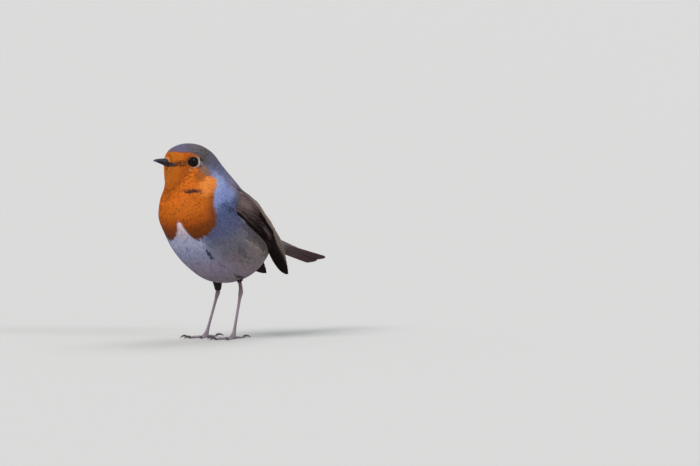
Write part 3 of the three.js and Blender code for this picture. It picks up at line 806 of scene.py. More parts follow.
horn, wire, sockets = new_finish("bill_horn")
towards_tip, height, _ = wire.attribute("along_bill")
grain = wire.noise(900, 3) - 0.5
colour = (towards_tip + grain * 0.08).read([
    (0.36, "#4a2e2e"), (0.51, "#2c1918"), (0.60, "#1e1720"), (0.85, "#141828"), (1.0, "#2f3a4c")
])
ridge_shine = height.rising(0.75, 1.0) * 0.3
colour = ridge_shine.choose(colour, "#3d4a6a")
colour.into(sockets["Base Color"])
(0.40 + grain * 0.25).into(sockets["Roughness"])
sockets["Specular IOR Level"].default_value = 0.3
wire.noise(3200, 3).relief(0.12, 0.0002).into(sockets["Normal"])

for name, upper in {"upper": True, "lower": False}.items():
    rings, share = bill_half(upper)
    corners = [gape_corner(side, upper) for side in SIDES.values()]
    half_bill = piece_of(f"horn_of_{name}_bill", *joined([closed_tube(rings), *corners]), horn)
    ring_shares = np.append(share.ravel(), (share[0, 0], share[-1, 0]))
    ring_shares = np.append(ring_shares, np.full(len(half_bill.data.vertices) - len(ring_shares), GAPE_SHARE))
    heights = ((points_of(half_bill.data)[:, 2] - EYE_LEVEL) / 2.4).clip(0, 1)
    set_vectors(half_bill.data, "along_bill", np.stack([ring_shares, heights, heights], axis=-1))
    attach(half_bill, "root")
    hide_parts(f"bill_{name}")

# Fine stiff black bristles stand forward from the skin at each corner of the mouth.
BRISTLES = [  # height at the root, how far back, length, and degrees up and outwards, for each on one side
    (-0.6, 9.0, 4.2, -8, 26), (0.1, 8.7, 4.6, 2, 30), (0.7, 8.6, 4.2, 12, 32), (1.3, 8.6, 3.6, 22, 30),
    (-1.2, 9.3, 3.4, -22, 24),
]
bristles = []
for side in SIDES.values():
    for height, back, length, up, outward in BRISTLES:
        share = np.linspace(0, 1, 9)[:, None]
        up, outward = math.radians(up), math.radians(outward)
        forward = length * share
        x = side * (2.6 + forward * math.sin(outward) * (1 - 0.35 * share))
        z = height + forward * math.sin(up) - 0.5 * share**2
        turn, thick = whole_turn(5), 0.075 * (1 - 0.85 * share)
        x, z = x + thick * np.cos(turn), z + thick * np.sin(turn)
        bristles.append(closed_tube(in_head(x, -back - forward * 0.85, z)))
black_hair, wire, sockets = new_finish("bristle_black")
wire.noise(1500).choose("#0d0b0b", "#1d1917").into(sockets["Base Color"])
sockets["Roughness"].default_value = 0.5
bristles = piece_of("mouth_bristles", *joined(bristles), black_hair)
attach(bristles, "root")

# ---- Legs and feet -----------------------------------------------------------------------------------------
# Below the feathered ankle each leg is bare bone and sinew in horny skin, with scutes down its front and over
# the toes, soft pads under them, and a curved horny claw on each toe. The hind toe has the longest claw.
FOOT_APART = 9.9  # from the mid-plane to each foot
FOOT_TOP = 1.6
SHAFT = np.array([  # share of the way up from foot to ankle, half-width across and along the bird
    (1.35, 0.85, 0.9), (1.2, 0.95, 1.05), (1.05, 1.05, 1.15), (0.96, 1.28, 1.42), (0.9, 1.1, 1.28),
    (0.8, 0.8, 1.0), (0.5, 0.7, 0.88), (0.2, 0.78, 0.95), (0.08, 1.05, 1.15),
])
BALL = np.array([  # of the foot: z, y and half-widths
    (1.6, -0.4, 1.5, 1.8), (0.8, -0.9, 1.9, 2.45), (0.0, -0.9, 1.7, 2.3),
])
TOES = {  # degrees outwards from straight ahead, start, length, joints and length of the claw
    "inner": (-28, 3.4, 8.2, 2, 4.0),
    "middle": (-2, 3.8, 10.6, 3, 4.8),
    "outer": (25, 3.4, 8.4, 3, 4.0),
    "hind": (180, 1.9, 6.6, 1, 6.2),
}
TOE_HALF, TOE_HEIGHT, TOE_SUNK = 0.78, 1.6, 0.65
SCUTE = 1.7  # along the shank; over the toes it is half as long
LEG_VOXEL = 0.13


def scutes(distance, length):
    """Each horny plate swells a little towards its lower end, then steps in under it."""
    place = (distance / length) % 1
    return 0.055 * (place**1.5 - 0.5) * (1 - eased(0.9, 1.0, place)) - 0.04 * eased(0.9, 1.0, place)


def shank(leg):
    """The bare leg from inside the thigh down through the ball of the foot."""
    foot = np.array((leg["side"] * FOOT_APART, 0, FOOT_TOP))
    shaft = []
    for share, across, along in SHAFT:
        above = np.clip(share - 1, 0, 1)
        middle = foot + (leg["ankle"] - foot) * (share - above) + (leg["hip"] - leg["ankle"]) * above * 1.6
        shaft.append((*middle, across, along))
    ball = [(foot[0], y, z, across, along) for z, y, across, along in BALL]
    along_leg = along_curve(np.array(shaft + ball), np.linspace(0, 1, 260))
    middle, across, along = along_leg[:, None, 0:3], along_leg[:, None, 3], along_leg[:, None, 4]
    turn = whole_turn(28)
    front = eased(-0.2, 0.5, -np.sin(turn))
    plates = 1 + front * scutes(middle[..., 2], SCUTE) / across * 1.6
    sinew = 1 - 0.10 * hump(np.abs(np.cos(turn)), 0.9, 0.12) * eased(2.5, 5, middle[..., 2])
    level = np.stack([
        across * plates * sinew * np.cos(turn), along * plates * np.sin(turn), np.zeros((len(along_leg), 28))
    ], axis=-1)
    return closed_tube(middle + level)


def laid_along(leg, turn, distance, middle, half, high, sides=20):
    """Rings across a line on the floor that leaves the foot in a toe's direction, flattened by the floor."""
    turn = math.radians(turn)
    ahead = np.array([leg["side"] * math.sin(turn), -math.cos(turn), 0])
    sideways = np.array([-ahead[1], ahead[0], 0])
    around = whole_turn(sides)
    height = np.maximum(0, middle[:, None] + high[:, None] * np.sin(around))
    across = half[:, None] * np.cos(around)
    foot = np.array((leg["side"] * FOOT_APART, 0, 0))
    return foot + distance[:, None, None] * ahead + across[..., None] * sideways + height[..., None] * UPWARDS


def toe(leg, turn, start, length, joints):
    """A toe lies flat on the floor and swells into a pad under each bone."""
    steps = 2 * joints + 1
    share = np.linspace(0, 1, steps + 1)
    size = np.where(np.arange(steps + 1) % 2 == 1, 1.0, 0.82) * (1 - 0.22 * share)
    fine = along_curve(np.stack([share, size], axis=-1), np.linspace(0, 1, 100))
    share, size = fine[:, 0], fine[:, 1] * (1 - 0.5 * eased(0.965, 1.0, fine[:, 0]))
    plates = 1 + scutes(length * share, SCUTE / 2) * 1.3
    distance = start + length * share - 0.6 * (1 - share)
    half, high = TOE_HALF * size * plates, TOE_HEIGHT / 2 * size
    return closed_tube(laid_along(leg, turn, distance, high * TOE_SUNK, half, high * plates))


def claw(leg, turn, start, length, joints, claw_length):
    """A claw arches from the end of its toe down to its point on the floor."""
    share = np.linspace(0, 1, 40) ** 0.85
    half = 0.52 * (1 - share) ** 0.8 + 0.2 * (1 - 0.8 * eased(0.85, 1, share))
    middle = 0.78 + 0.675 * np.sin(math.pi * share**0.8) - 0.5 * share
    distance = start + length + 0.1 + claw_length * share
    return closed_tube(laid_along(leg, turn, distance, middle, half * 0.82, half, sides=16))


leg_skin, wire, sockets = new_finish("leg_scales")
down_leg, frontwards, _ = wire.attribute("on_leg")
mottle = wire.noise(700, 3) - 0.5
plate = wire.maths("FRACT", down_leg * (1 / SCUTE))
seam = plate.rising(0.86, 0.97) * frontwards.rising(0.1, 0.6)
colour = (down_leg * 0.035 + mottle * 0.25).read([
    (0.0, "#554a53"), (0.10, "#665b66"), (0.5, "#786c78"), (0.85, "#74616c"), (1.05, "#5a484e")
])
colour = (seam * 0.6).choose(colour, "#463a3c")
colour.into(sockets["Base Color"])
(0.42 + mottle * 0.3).into(sockets["Roughness"])
wire.noise(5200, 2).relief(0.25, 0.0001).into(sockets["Normal"])

claw_horn, wire, sockets = new_finish("claw_horn")
wire.noise(1800, 2).choose("#2c2426", "#4b3f40").into(sockets["Base Color"])
sockets["Roughness"].default_value = 0.3

for name, leg in LEGS.items():
    toes = [toe(leg, *measures[:4]) for measures in TOES.values()]
    bare_leg = fused(piece_of(f"bare_leg_{name}", *joined([shank(leg), *toes])), LEG_VOXEL, smoothing=1)
    points = points_of(bare_leg.data)
    points[:, 2] = np.maximum(points[:, 2], 0)
    bare_leg.data.vertices.foreach_set("co", placed(points).ravel())
    from_foot = np.hypot(points[:, 0] - leg["side"] * FOOT_APART, points[:, 1])
    shaft_share = (points[:, 2:3] - FOOT_TOP) / (leg["ankle"][2] - FOOT_TOP)
    shaft_y = shaft_share[:, 0] * leg["ankle"][1]
    on_shank = points[:, 2] > 2.4
    down_leg = np.where(on_shank, points[:, 2], from_foot * 2)
    frontwards = np.where(on_shank, eased(-0.2, 0.4, shaft_y - points[:, 1]), eased(0.5, 1.0, points[:, 2]))
    set_vectors(bare_leg.data, "on_leg", np.stack([down_leg, frontwards, frontwards], axis=-1))
    bare_leg.data.materials.append(leg_skin)
    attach(bare_leg, "root")
    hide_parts(f"tarsus_{name}", *(f"toe_{name}_{which}" for which in TOES))
    claws = joined([claw(leg, *measures) for measures in TOES.values()])
    claws = piece_of(f"claws_of_{name}_foot", *claws, claw_horn)
    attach(claws, "root")
    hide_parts(*(f"claw_{name}_{which}" for which in TOES))

# ---- Wings -------------------------------------------------------------------------------------------------
# A folded wing is a fan of stiff vanes shut into a stack: nine primaries at the bottom, six secondaries over
# them, three tertials on top, and rows of coverts over their roots. A vane is barbs on both sides of a shaft.
VANE_STATIONS, VANE_THICK = 26, 0.09
VANE_COLUMNS = np.array([-1, -0.86, -0.5, -0.1, 0.0, 0.1, 0.5, 0.86, 1])
SHAFT_HEIGHT = 0.16
VANE_SLOPE, VANE_ARCH, TIP_LIFT = 0.16, 0.10, 0.10  # across a vane, and up at its tip
EDGES_TUCKED = 1.9  # how far the wrist and the shoulder's edge sink under the feathers beside them


def vane_outline(share, blunt):
    """Half-width along a vane, as a share of its widest: narrow at the quill and rounded at the tip."""
    tip = np.clip((share - blunt) / (1 - blunt), 0, 1)
    return (0.42 + 0.58 * eased(-0.1, 0.42, share)) * np.sqrt(np.maximum(1 - tip**2.2, 0.0))


def vanes(name, top, outwards, across, along, feather, shade, pale, material):
    """Closed thin vanes in one mesh. The arrays are (vane, station, column), and shade is 0 where darkest."""
    count, stations, columns = top.shape[:3]
    bottom = top - outwards * VANE_THICK
    points = np.stack([top, bottom], axis=1).reshape(-1, 3)
    index = np.arange(2 * stations * columns).reshape(2, stations, columns)

    def quads(grid, flipped=False):
        a, b, c, d = grid[:-1, :-1], grid[:-1, 1:], grid[1:, 1:], grid[1:, :-1]
        split = [(a, c, b), (a, d, c)] if flipped else [(a, b, c), (a, c, d)]
        return np.concatenate([np.stack(three, axis=-1).reshape(-1, 3) for three in split])

    rim = [index[:, 0, :], index[:, 1:, -1], index[:, -1, -2::-1], index[:, -2:0:-1, 0]]
    rim = np.concatenate(rim, axis=1)
    after = np.roll(rim, -1, axis=1)
    walls = [(rim[0], rim[1], after[1]), (rim[0], after[1], after[0])]
    walls = np.concatenate([np.stack(three, axis=-1) for three in walls])
    faces = [quads(index[0]), quads(index[1], flipped=True), walls]
    triangles, lower = np.concatenate(faces), np.repeat([0, 1, 0], [len(part) for part in faces])
    all_triangles = (np.arange(count)[:, None, None] * index.size + triangles).reshape(-1, 3)
    made = piece_of_triangles(name, points, all_triangles)

    def both_faces(values):
        return np.broadcast_to(values[:, None], (count, 2, stations, columns)).ravel()

    on_vane = [both_faces(values) for values in (along, across["mm"], across["share"])]
    set_vectors(made.data, "on_vane", np.stack(on_vane, axis=-1))
    # On each vane's upper face under is minus its pale share. On the lower face it is 1, which the finish
    # paints lighter: partly the underside's own paler colour, partly painted light in its shade.
    under = np.stack([-pale, np.ones_like(pale)], axis=1).ravel()
    tint = [both_faces(feather[:, None, None]), both_faces(shade), under]
    set_vectors(made.data, "tint", np.stack(tint, axis=-1))

    side = math.ceil(math.sqrt(2 * count))
    cell = np.arange(2 * count).reshape(count, 2)
    corner = np.stack([cell % side, cell // side], axis=-1) / side
    s, c = np.meshgrid(np.linspace(0, 1, stations), np.linspace(0, 1, columns), indexing="ij")
    flat = (0.06 + 0.88 * np.stack([c, s], axis=-1)) / side
    own_corner = corner[np.repeat(np.arange(count), len(lower)), np.tile(lower, count)]
    uv = own_corner[:, None] + flat.reshape(-1, 2)[all_triangles % (stations * columns)]
    made.data.uv_layers.new(name="OFBake").data.foreach_set("uv", uv.ravel())
    made.data.materials.append(material)
    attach(made, "root")
    return made


def folded_feathers(rows):
    """The rows of one wing as arrays. A row is its count, then each measure at its first and last feather."""
    names = ("root_t", "root_v", "tip_t", "tip_v", "half", "level", "blunt", "shade")
    feathers = {name: [] for name in names}
    for count, *measures in rows:
        for name, measure in zip(names, measures):
            measure = np.atleast_1d(measure)
            way, known = (np.linspace(0, 1, steps) for steps in (count, len(measure)))
            feathers[name].append(np.interp(way, known, measure))
    return {name: np.concatenate(values) for name, values in feathers.items()}


BORDER = {  # of the folded wing: its olive-brown upper part, where v is over start, along t
    "t": (0.04, 0.12, 0.2, 0.45, 0.55, 0.7, 0.88, 1.0),
    "start": (0.8, 0.55, 0.47, 0.47, 0.42, 0.46, 0.64, 0.9),
    "strength": (0.0, 0.6, 0.85, 0.85, 0.8, 0.6, 0.6, 0.5),
}
GAP_SHADOW = 0.37  # v of the painted shadow in the gap under its edge


def wing_vanes(name, side, rows, material, seed):
    """Rows of one folded wing's vanes, laid over its face, in one mesh."""
    random = np.random.default_rng(seed)
    feather = folded_feathers(rows)
    count = len(feather["half"])
    s = np.linspace(0, 1, VANE_STATIONS)[None, :, None]
    c = VANE_COLUMNS[None, None, :]
    f = {key: values[:, None, None] for key, values in feather.items()}
    f["tip_t"] = f["tip_t"] + (random.random((count, 1, 1)) - 0.5) * 0.008
    ragged = 1 + (random.random((count, VANE_STATIONS, 1)) - 0.5) * 0.05
    half = f["half"] * vane_outline(s, f["blunt"]) * ragged
    ruffled = (random.random((count, VANE_STATIONS, len(VANE_COLUMNS))) - 0.5) * 0.002 * (np.abs(c) > 0.8)
    t = f["root_t"] + (f["tip_t"] - f["root_t"]) * s - np.abs(c) ** 2 * 0.016 * (1 - s) + ruffled
    v = f["root_v"] + (f["tip_v"] - f["root_v"]) * s**1.2
    t = np.clip(t, 0.0, 1.0)
    chord = np.linalg.norm(along_curve(WING_UPPER, t) - along_curve(WING_LOWER, t), axis=-1)
    v = np.clip(v + c * half / np.maximum(chord, 2), 0.0, 1.0)
    slope = -VANE_SLOPE * c * np.minimum(1, f["half"] / 2.2)
    arch = VANE_ARCH * (1 - c**2)
    lift = TIP_LIFT * eased(0.7, 1, s)
    shaft = SHAFT_HEIGHT * hump(c, 0, 0.07) * (1 - 0.8 * s)
    level = f["level"] * (1 - 0.35 * eased(0.75, 1.0, t)) - EDGES_TUCKED * under_body(t, v)
    top, outwards = wing_place(t, v, level + slope + arch + lift + shaft)
    if side < 0:  # mirrored, with the columns in reverse so that the faces still look out
        top, outwards = (values[:, :, ::-1] * (-1, 1, 1) for values in (top, outwards))
        t, v = t[:, :, ::-1], v[:, :, ::-1]
    lengths = np.linalg.norm(np.diff(top[:, :, len(VANE_COLUMNS) // 2], axis=1), axis=-1)
    along = np.concatenate([np.zeros((count, 1)), np.cumsum(lengths, axis=1)], axis=1)[:, :, None]
    across = {"mm": half * c, "share": c * side}
    start, strength = (np.interp(t, BORDER["t"], BORDER[key]) for key in ("start", "strength"))
    border = strength * eased(-0.05, 0.06, v - start) * (1 - 0.5 * eased(0.84, 0.97, v))
    shoulder = 0.42 * hump(v, 0.34, 0.15) * hump(t, 0.065, 0.045)
    # Painted shadow darkens the vanes in the gap under the tertials' edge.
    gap = hump(v, GAP_SHADOW, 0.06) * eased(0.14, 0.2, t) * (1 - eased(0.48, 0.56, t))
    panel = hump(v, 0.23, 0.1) * hump(t, 0.34, 0.11)
    shade = (f["shade"] + 0.34 * panel) * (1 - 0.95 * gap)
    pale = np.maximum(border, shoulder)
    return vanes(name, top, outwards, across, along, random.random(count), shade, pale, material)


vane_finish, wire, sockets = new_finish("flight_feather")
along, across, share = wire.attribute("on_vane")
by_feather, shade, under = wire.attribute("tint")
barbs = wire.maths("SINE", (along - abs(across) * 1.3) * 21.0)
coarse = wire.noise(300, 2) - 0.5
streak = wire.noise(1400, 2) - 0.5
colour = (shade + (by_feather - 0.5) * 0.12 + coarse * 0.1).read([
    (0.0, "#0d090a"), (0.25, "#1a1314"), (0.5, "#312526"), (0.75, "#4c3d40"), (1.0, "#66585f")
])
rim_colour = shade.read([(0.0, "#241c1b"), (0.35, "#5d4f4b"), (0.7, "#978a86")])
edge = (share * -1 + streak * 0.06).rising(0.88, 0.98)
far_edge = (share + shade * 0.3 + streak * 0.06).rising(0.98, 1.12) * shade.rising(0.1, 0.5) * 0.8
colour = (edge * 0.55).choose(colour, rim_colour)
colour = far_edge.choose(colour, rim_colour)
shaft_line = 1 - abs(share).rising(0.02, 0.07)
colour = (shaft_line * 0.7).choose(colour, "#2a2120")
colour = (under * (streak * 0.8 - 0.8)).choose(colour, "#95877c")
# The lower faces come out 2.4 times lighter: partly their own paler colour, partly painted light in the shade
# under the wings and tail.
colour = colour.dimmed((0.94 + streak * 0.35 + barbs * 0.05) * (1 + under.most(0) * 1.4))
colour.into(sockets["Base Color"])
(0.52 + streak * 0.25).into(sockets["Roughness"])
barbs.relief(0.3, 0.00008).into(sockets["Normal"])
sockets["Specular IOR Level"].default_value = 0.0

# Each row: how many; root t and v; tip t and v; half-width; level over the wing's face; where the tip starts
# to round; and shade. Lists run from the lowest feather of the row to the highest.
PRIMARIES = [
    (9, (0.30, 0.36), (0.05, 0.34), (0.90, 0.985, 0.995, 0.985, 0.95, 0.91, 0.87, 0.83, 0.80),
     (0.12, 0.30, 0.45, 0.58, 0.70, 0.76, 0.80, 0.84, 0.87), (2.4, 3.0), (-1.30, -0.66), 0.72, (0.10, 0.18)),
]
SECONDARIES = [
    (6, 0.26, (0.36, 0.60), (0.80, 0.72), (0.78, 0.92), 3.5, (-0.58, -0.18), 0.86, (0.14, 0.30)),
    (3, (0.24, 0.18), (0.70, 0.86), (0.69, 0.60, 0.50), (0.88, 0.90, 0.93), (3.9, 3.6), (-0.06, 0.18), 0.8,
     (0.36, 0.58)),
]
COVERTS = [
    (5, (0.20, 0.14), (0.04, 0.12), (0.58, 0.50), (0.09, 0.20), 1.7, (-0.30, -0.05), 0.8, (0.12, 0.20)),
    (10, 0.16, (0.12, 0.88), (0.45, 0.415), (0.16, 0.93), 2.1, (0.10, 0.62), 0.84, (0.24, 0.62)),
    (3, (0.05, 0.03), (0.06, 0.10), (0.39, 0.29), (0.09, 0.15), (1.9, 1.6), (0.42, 0.62), 0.75, (0.10, 0.20)),
    (9, 0.09, (0.10, 0.90), (0.30, 0.27), (0.15, 0.95), 1.9, (0.62, 0.95), 0.7, (0.24, 0.66)),
    (9, 0.06, (0.08, 0.92), (0.215, 0.20), (0.12, 0.94), 1.8, (0.90, 1.1), 0.6, (0.36, 0.76)),
    (9, 0.04, (0.10, 0.90), (0.16, 0.15), (0.08, 0.94), 1.7, (1.06, 1.2), 0.6, (0.50, 0.84)),
    (8, 0.02, (0.12, 0.88), (0.11, 0.10), (0.08, 0.94), 1.6, (1.2, 1.3), 0.6, (0.62, 0.88)),
    (8, 0.0, (0.14, 0.86), (0.06, 0.055), (0.08, 0.94), 1.5, (1.32, 1.4), 0.6, (0.70, 0.92)),
]
for seed, (name, side) in enumerate(SIDES.items(), 30):
    for row, rows, slot_name in (
        ("primaries", PRIMARIES, "wing_feathers"),
        ("secondaries", SECONDARIES, "wing_feathers"),
        ("coverts", COVERTS, "olive_plumage"),
    ):
        made = wing_vanes(f"{row}_of_{name}_wing", side, rows, vane_finish, seed)
        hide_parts(f"wing_{name}_{row}")

# ---- Tail --------------------------------------------------------------------------------------------------
# Twelve nearly closed vanes, each pair under the one before, droop a little and are rolled to one side. The
# middle pair is on top, and the outermost pair is lowest and a little shorter.
TAIL_LENGTH, TAIL_PAIRS = 61.2, 6
RECTRIX_HALF, RECTRIX_DROP = 2.8, 0.28  # of a vane, and of each pair under the one before
TAIL_SPREAD = 3.4  # of the outermost pair from the middle, at its tip
TAIL_RIM = 0.88  # of the share across that a wing's vane has, so that little of the pale rim shows
TAIL_END = (3.4, 2.2, 0.9, 0.0, 0.4, 1.8)  # how much each pair falls short of the longest

tail_random = np.random.default_rng(40)
pair = np.repeat(np.arange(TAIL_PAIRS)[::-1], 2)[:, None, None]
tail_side = np.tile([-1, 1], TAIL_PAIRS)[:, None, None]
s = np.linspace(0, 1, 2 * VANE_STATIONS)[None, :, None]
c = VANE_COLUMNS[None, None, :]
shorter = np.array(TAIL_END)[pair] + tail_random.random(pair.shape) * 0.6
end = 1 - shorter / TAIL_LENGTH
ragged = 1 + (tail_random.random((2 * TAIL_PAIRS, s.size, 1)) - 0.5) * 0.03
half = RECTRIX_HALF * vane_outline(s, 0.95) * ragged
offset = tail_side * (0.35 + TAIL_SPREAD * (0.3 + 0.7 * s) * pair / (TAIL_PAIRS - 1))
slant = 1.1 * np.abs(c) ** 1.5 * eased(0.9, 1, s)
level = -0.05 - RECTRIX_DROP * pair - 0.14 * (tail_side > 0) - tail_side * c * 0.05 + 0.08 * (1 - c**2)
level = level + SHAFT_HEIGHT * hump(c, 0, 0.06) * (1 - 0.8 * s)
flat = offset + half * c, TAIL_LENGTH * end * s - slant * (1 - s), level
flat = np.stack(np.broadcast_arrays(*flat), axis=-1)
made = vanes(
    "tail_vanes",
    tail_placed(flat),
    tail_placed(UPWARDS) - TAIL_BASE,
    {"mm": half * c, "share": TAIL_RIM * c * tail_side},
    TAIL_LENGTH * s,
    tail_random.random(2 * TAIL_PAIRS),
    0.72 - 0.19 * eased(0.2, 0.95, s),
    np.zeros(flat.shape[:3]),
    vane_finish,
)
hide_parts("tail")

# ---- Colours of the plumage --------------------------------------------------------------------------------
# A robin's feathers are grey and downy at the root and coloured towards the tip: orange over face and bib,
# ash-blue beside it, olive-grey over crown and back, dull white along the belly and buff on the flanks.


def at_rib(number, value=None):
    """Where a rib lies on the way along the coat, from 0 to 1, with the value that holds there if any."""
    return number / COAT_END if value is None else (number / COAT_END, value)


BIB_EDGE = [  # rib number, and degrees round from the back's middle to the edge of the orange there
    (0, 0), (1.0, 0), (1.25, 18), (1.6, 36), (2.0, 46), (2.6, 52), (3.3, 54), (4.0, 58), (4.35, 70),
    (4.6, 80), (4.9, 82), (5.2, 80), (5.45, 75), (5.9, 74), (6.2, 90), (6.7, 105), (7.2, 110), (7.75, 120),
    (8.05, 136), (8.2, 156), (8.35, 180),
]
ASH_EDGE = [  # the same, to where the ash-blue side of the neck meets the olive-grey back
    (4.4, 60), (5.3, 60), (5.8, 62), (6.3, 62), (6.8, 70), (7.2, 78), (7.7, 84), (8.6, 88), (10, 90),
    (14, 94),
]
NOTCH_MIDDLE = [(6.7, 167.5), (7.3, 169), (7.8, 172), (8.2, 175.5), (8.8, 180)]  # of the bib's white notch
NOTCH_WIDTH = [(6.7, 0), (6.95, 3.5), (7.3, 5.5), (7.75, 9.5), (8.0, 13), (8.2, 19.5), (8.4, 30)]
UPPER_COLOURS = [
    (0.8, "#7d6b7d"), (2.2, "#706a88"), (3.2, "#6c6570"), (4.4, "#5f585a"), (5.2, "#5d5a6c"),
    (5.9, "#6c6e94"), (6.7, "#7c7690"), (7.5, "#675f69"), (9.0, "#5b5358"), (11.5, "#5a5149"),
    (15, "#66594d"), (16.5, "#55473f"),
]
SIDE_COLOURS = [
    (4.6, "#625a68"), (5.3, "#74779a"), (6.0, "#9fadd8"), (6.7, "#8493c9"), (7.4, "#59638c"),
    (8.2, "#606589"), (9.0, "#767482"), (10, "#7c7177"), (11.5, "#7a6f72"), (13, "#7f7374"),
    (15, "#6f605e"), (16.5, "#574747"),
]
ORANGE_COLOURS = [
    (0.6, "#e07d22"), (2.0, "#d57216"), (3.3, "#bd5d12"), (4.3, "#da7014"), (5.0, "#d26910"),
    (5.8, "#c5640f"), (6.3, "#c6640f"), (7.0, "#b1540f"), (7.6, "#8a410f"), (8.2, "#673818"),
]
# The belly's colours darken from the white by the notch towards the vent: partly their own colour, partly
# painted shade under the body.
BELLY_COLOURS = [
    (6.6, "#fff0f4"), (7.4, "#f3e0ea"), (8.3, "#bcbfe2"), (9.0, "#abb0d2"), (9.8, "#ad9fba"),
    (10.8, "#9f909d"), (12, "#8e838c"), (14, "#7a6e73"), (16.5, "#5e4e50"),
]

# Marks: strength, colour, rib, degrees, half-length in ribs, half-breadth in degrees, and lean if any.
CHEEK_MARKS = [  # dark and white feathers behind the eye, and pale ones under it
    (0.8, "#2c2a33", 4.31, 60, 0.2, 3.5),
    (0.8, "#e4e0e8", 4.42, 66, 0.15, 3),
    (0.55, "#eaa678", 4.05, 87.5, 0.15, 5, -0.1),
]
FOLD_SHADOWS_AND_PALE_MARKS = [  # on the left only: painted shadows where feathers of the bib and the flank part, fold or lie over each other, and a few pale marks
    (0.95, "#3f1b1a", 5.25, 113, 0.31, 16, -0.035),
    (0.7, "#9b8d84", 10.0, 94.5, 0.42, 9, -0.14),
    (0.5, "#5c4f53", 10.1, 111.5, 0.28, 8, -0.096),
    (0.45, "#4b4a55", 9.6, 110, 0.6, 3.5, 0),
    (0.5, "#62545c", 9.9, 145, 0.25, 3.2, -0.14),
    (0.55, "#38405a", 8.12, 101, 0.14, 3.2, -0.16),
    (0.65, "#363c50", 8.4, 98, 0.12, 5, -0.054),
    (0.65, "#2c3861", 7.13, 95, 0.12, 8, -0.036),
    (0.9, "#242943", 9.1, 150.5, 0.38, 3.2, 0),
    (0.6, "#3a3f58", 8.85, 152.5, 0.35, 2.0, 0),
    (0.85, "#33252b", 11.0, 141, 0.5, 5.5, 0),
    (0.95, "#ffffff", 8.5, 85, 0.2, 2.8, -0.125),
]

# Skin and coat share one finish, which takes its colour from a feather's place on the body.
plumage, wire, sockets = new_finish("plumage")
along, round_body, tipwards = wire.attribute("lie")
by_feather, by_strand, pale = wire.attribute("tint")
uneven = wire.noise(420, 3) - 0.5
fine = wire.noise(1600, 2) - 0.5
around = abs(round_body) + uneven * 0.03 + (by_feather - 0.5) * 0.02
rib = along + uneven * 0.008 + (by_feather - 0.5) * 0.006

upper, sides, orange, belly = (
    rib.read([at_rib(*stop) for stop in colours])
    for colours in (UPPER_COLOURS, SIDE_COLOURS, ORANGE_COLOURS, BELLY_COLOURS)
)
bib_edge, ash_edge, notch_middle, notch_width = (
    rib.read([at_rib(n, d / 180) for n, d in edge], "LINEAR")
    for edge in (BIB_EDGE, ASH_EDGE, NOTCH_MIDDLE, NOTCH_WIDTH)
)


def spot(at, degrees, length, breadth, lean=0):
    """1 at a place on each side of the body, down to 0 at its edge. It leans by so many ribs a degree."""
    from_middle = around - degrees / 180
    from_rib = (rib - at_rib(at) - from_middle * (lean * 180 / COAT_END)) * (COAT_END / length)
    from_middle = from_middle * (180 / breadth)
    return 1 - (from_rib * from_rib + from_middle * from_middle).rising(0.1, 1)


def past(low, high):
    """0 up to one rib, and 1 from another on."""
    return rib.rising(at_rib(low), at_rib(high))


side = (around - ash_edge).rising(-0.04, 0.05) * past(4.2, 5.4)
colour = side.choose(upper, sides)
back = (1 - around.rising(0.1, 0.3)) * past(5, 8)
colour = (back * 0.7).choose(colour, "#5b5140")
rear_flank = around.rising(0.46, 0.56) * past(9.2, 10.4)
colour = (rear_flank * (0.6 + uneven)).choose(colour, "#8f8283")
ear = spot(4.9, 80, 0.8, 15)
colour = (ear * 0.9).choose(colour, "#8f6850")
white = (around + (rib - at_rib(9.5)) * 1.1).rising(0.66, 0.90) * past(6.9, 7.6)
colour = white.choose(colour, belly)
# Painted shade on the belly where the thighs leave it.
shade_at_legs = spot(11.5, 152, 0.8, 8)
colour = (shade_at_legs * 0.8).choose(colour, "#4a3a40")

# Painted light on the bulging lobe of orange below the cheek.
lit_lobe = spot(5.75, 80, 0.75, 34)
orange = (lit_lobe * 0.9).choose(orange, "#f0903f")
orange = (spot(4.95, 86, 0.55, 13) * 0.6).choose(orange, "#8a4a24")
edge_shade = (1 - (around - bib_edge).rising(0.0, 0.12)) * past(5.8, 6.5)
orange = (edge_shade * 0.7).choose(orange, "#6f3d22")
bib = (around - bib_edge).rising(-0.018, 0.018)
to_notch = abs(round_body - notch_middle)
to_notch = to_notch.least(abs(round_body + 2 - notch_middle)) + uneven * 0.02
in_notch = 1 - (to_notch - notch_width).rising(-0.012, 0.012)
in_notch = in_notch * past(6.65, 6.95)
bib = bib * (1 - in_notch) * (1 - past(8.1, 8.45))
colour = in_notch.choose(colour, belly)
colour = bib.choose(colour, orange)

brow = (1 - abs(around - bib_edge).rising(0.004, 0.026)) * past(1.0, 1.4)
brow = brow * (1 - past(2.7, 3.2))
colour = (brow * 0.55).choose(colour, "#7a3f33")
lore = spot(2.2, 84, 1.3, 11)
colour = (lore * fine.rising(-0.16, 0.04) * 0.9).choose(colour, "#3a2016")
gape = rib.read([(0.0, 18 / 180), (at_rib(1.95), 0.0)], "LINEAR") - abs(around - 90 / 180)
colour = gape.rising(-0.005, 0.012).choose(colour, "#33201f")
for marks, shown in ((CHEEK_MARKS, 1), (FOLD_SHADOWS_AND_PALE_MARKS, round_body.rising(0.0, 0.02))):
    for strength, code, *place in marks:
        colour = (spot(*place) * shown * strength).choose(colour, code)
# Minus pale paints the thighs' feathers and the skin round them dark brown: painted shade under the belly.
colour = (pale * -1).choose(colour, "#30242a")
colour = pale.choose(colour, "#efe6dc")

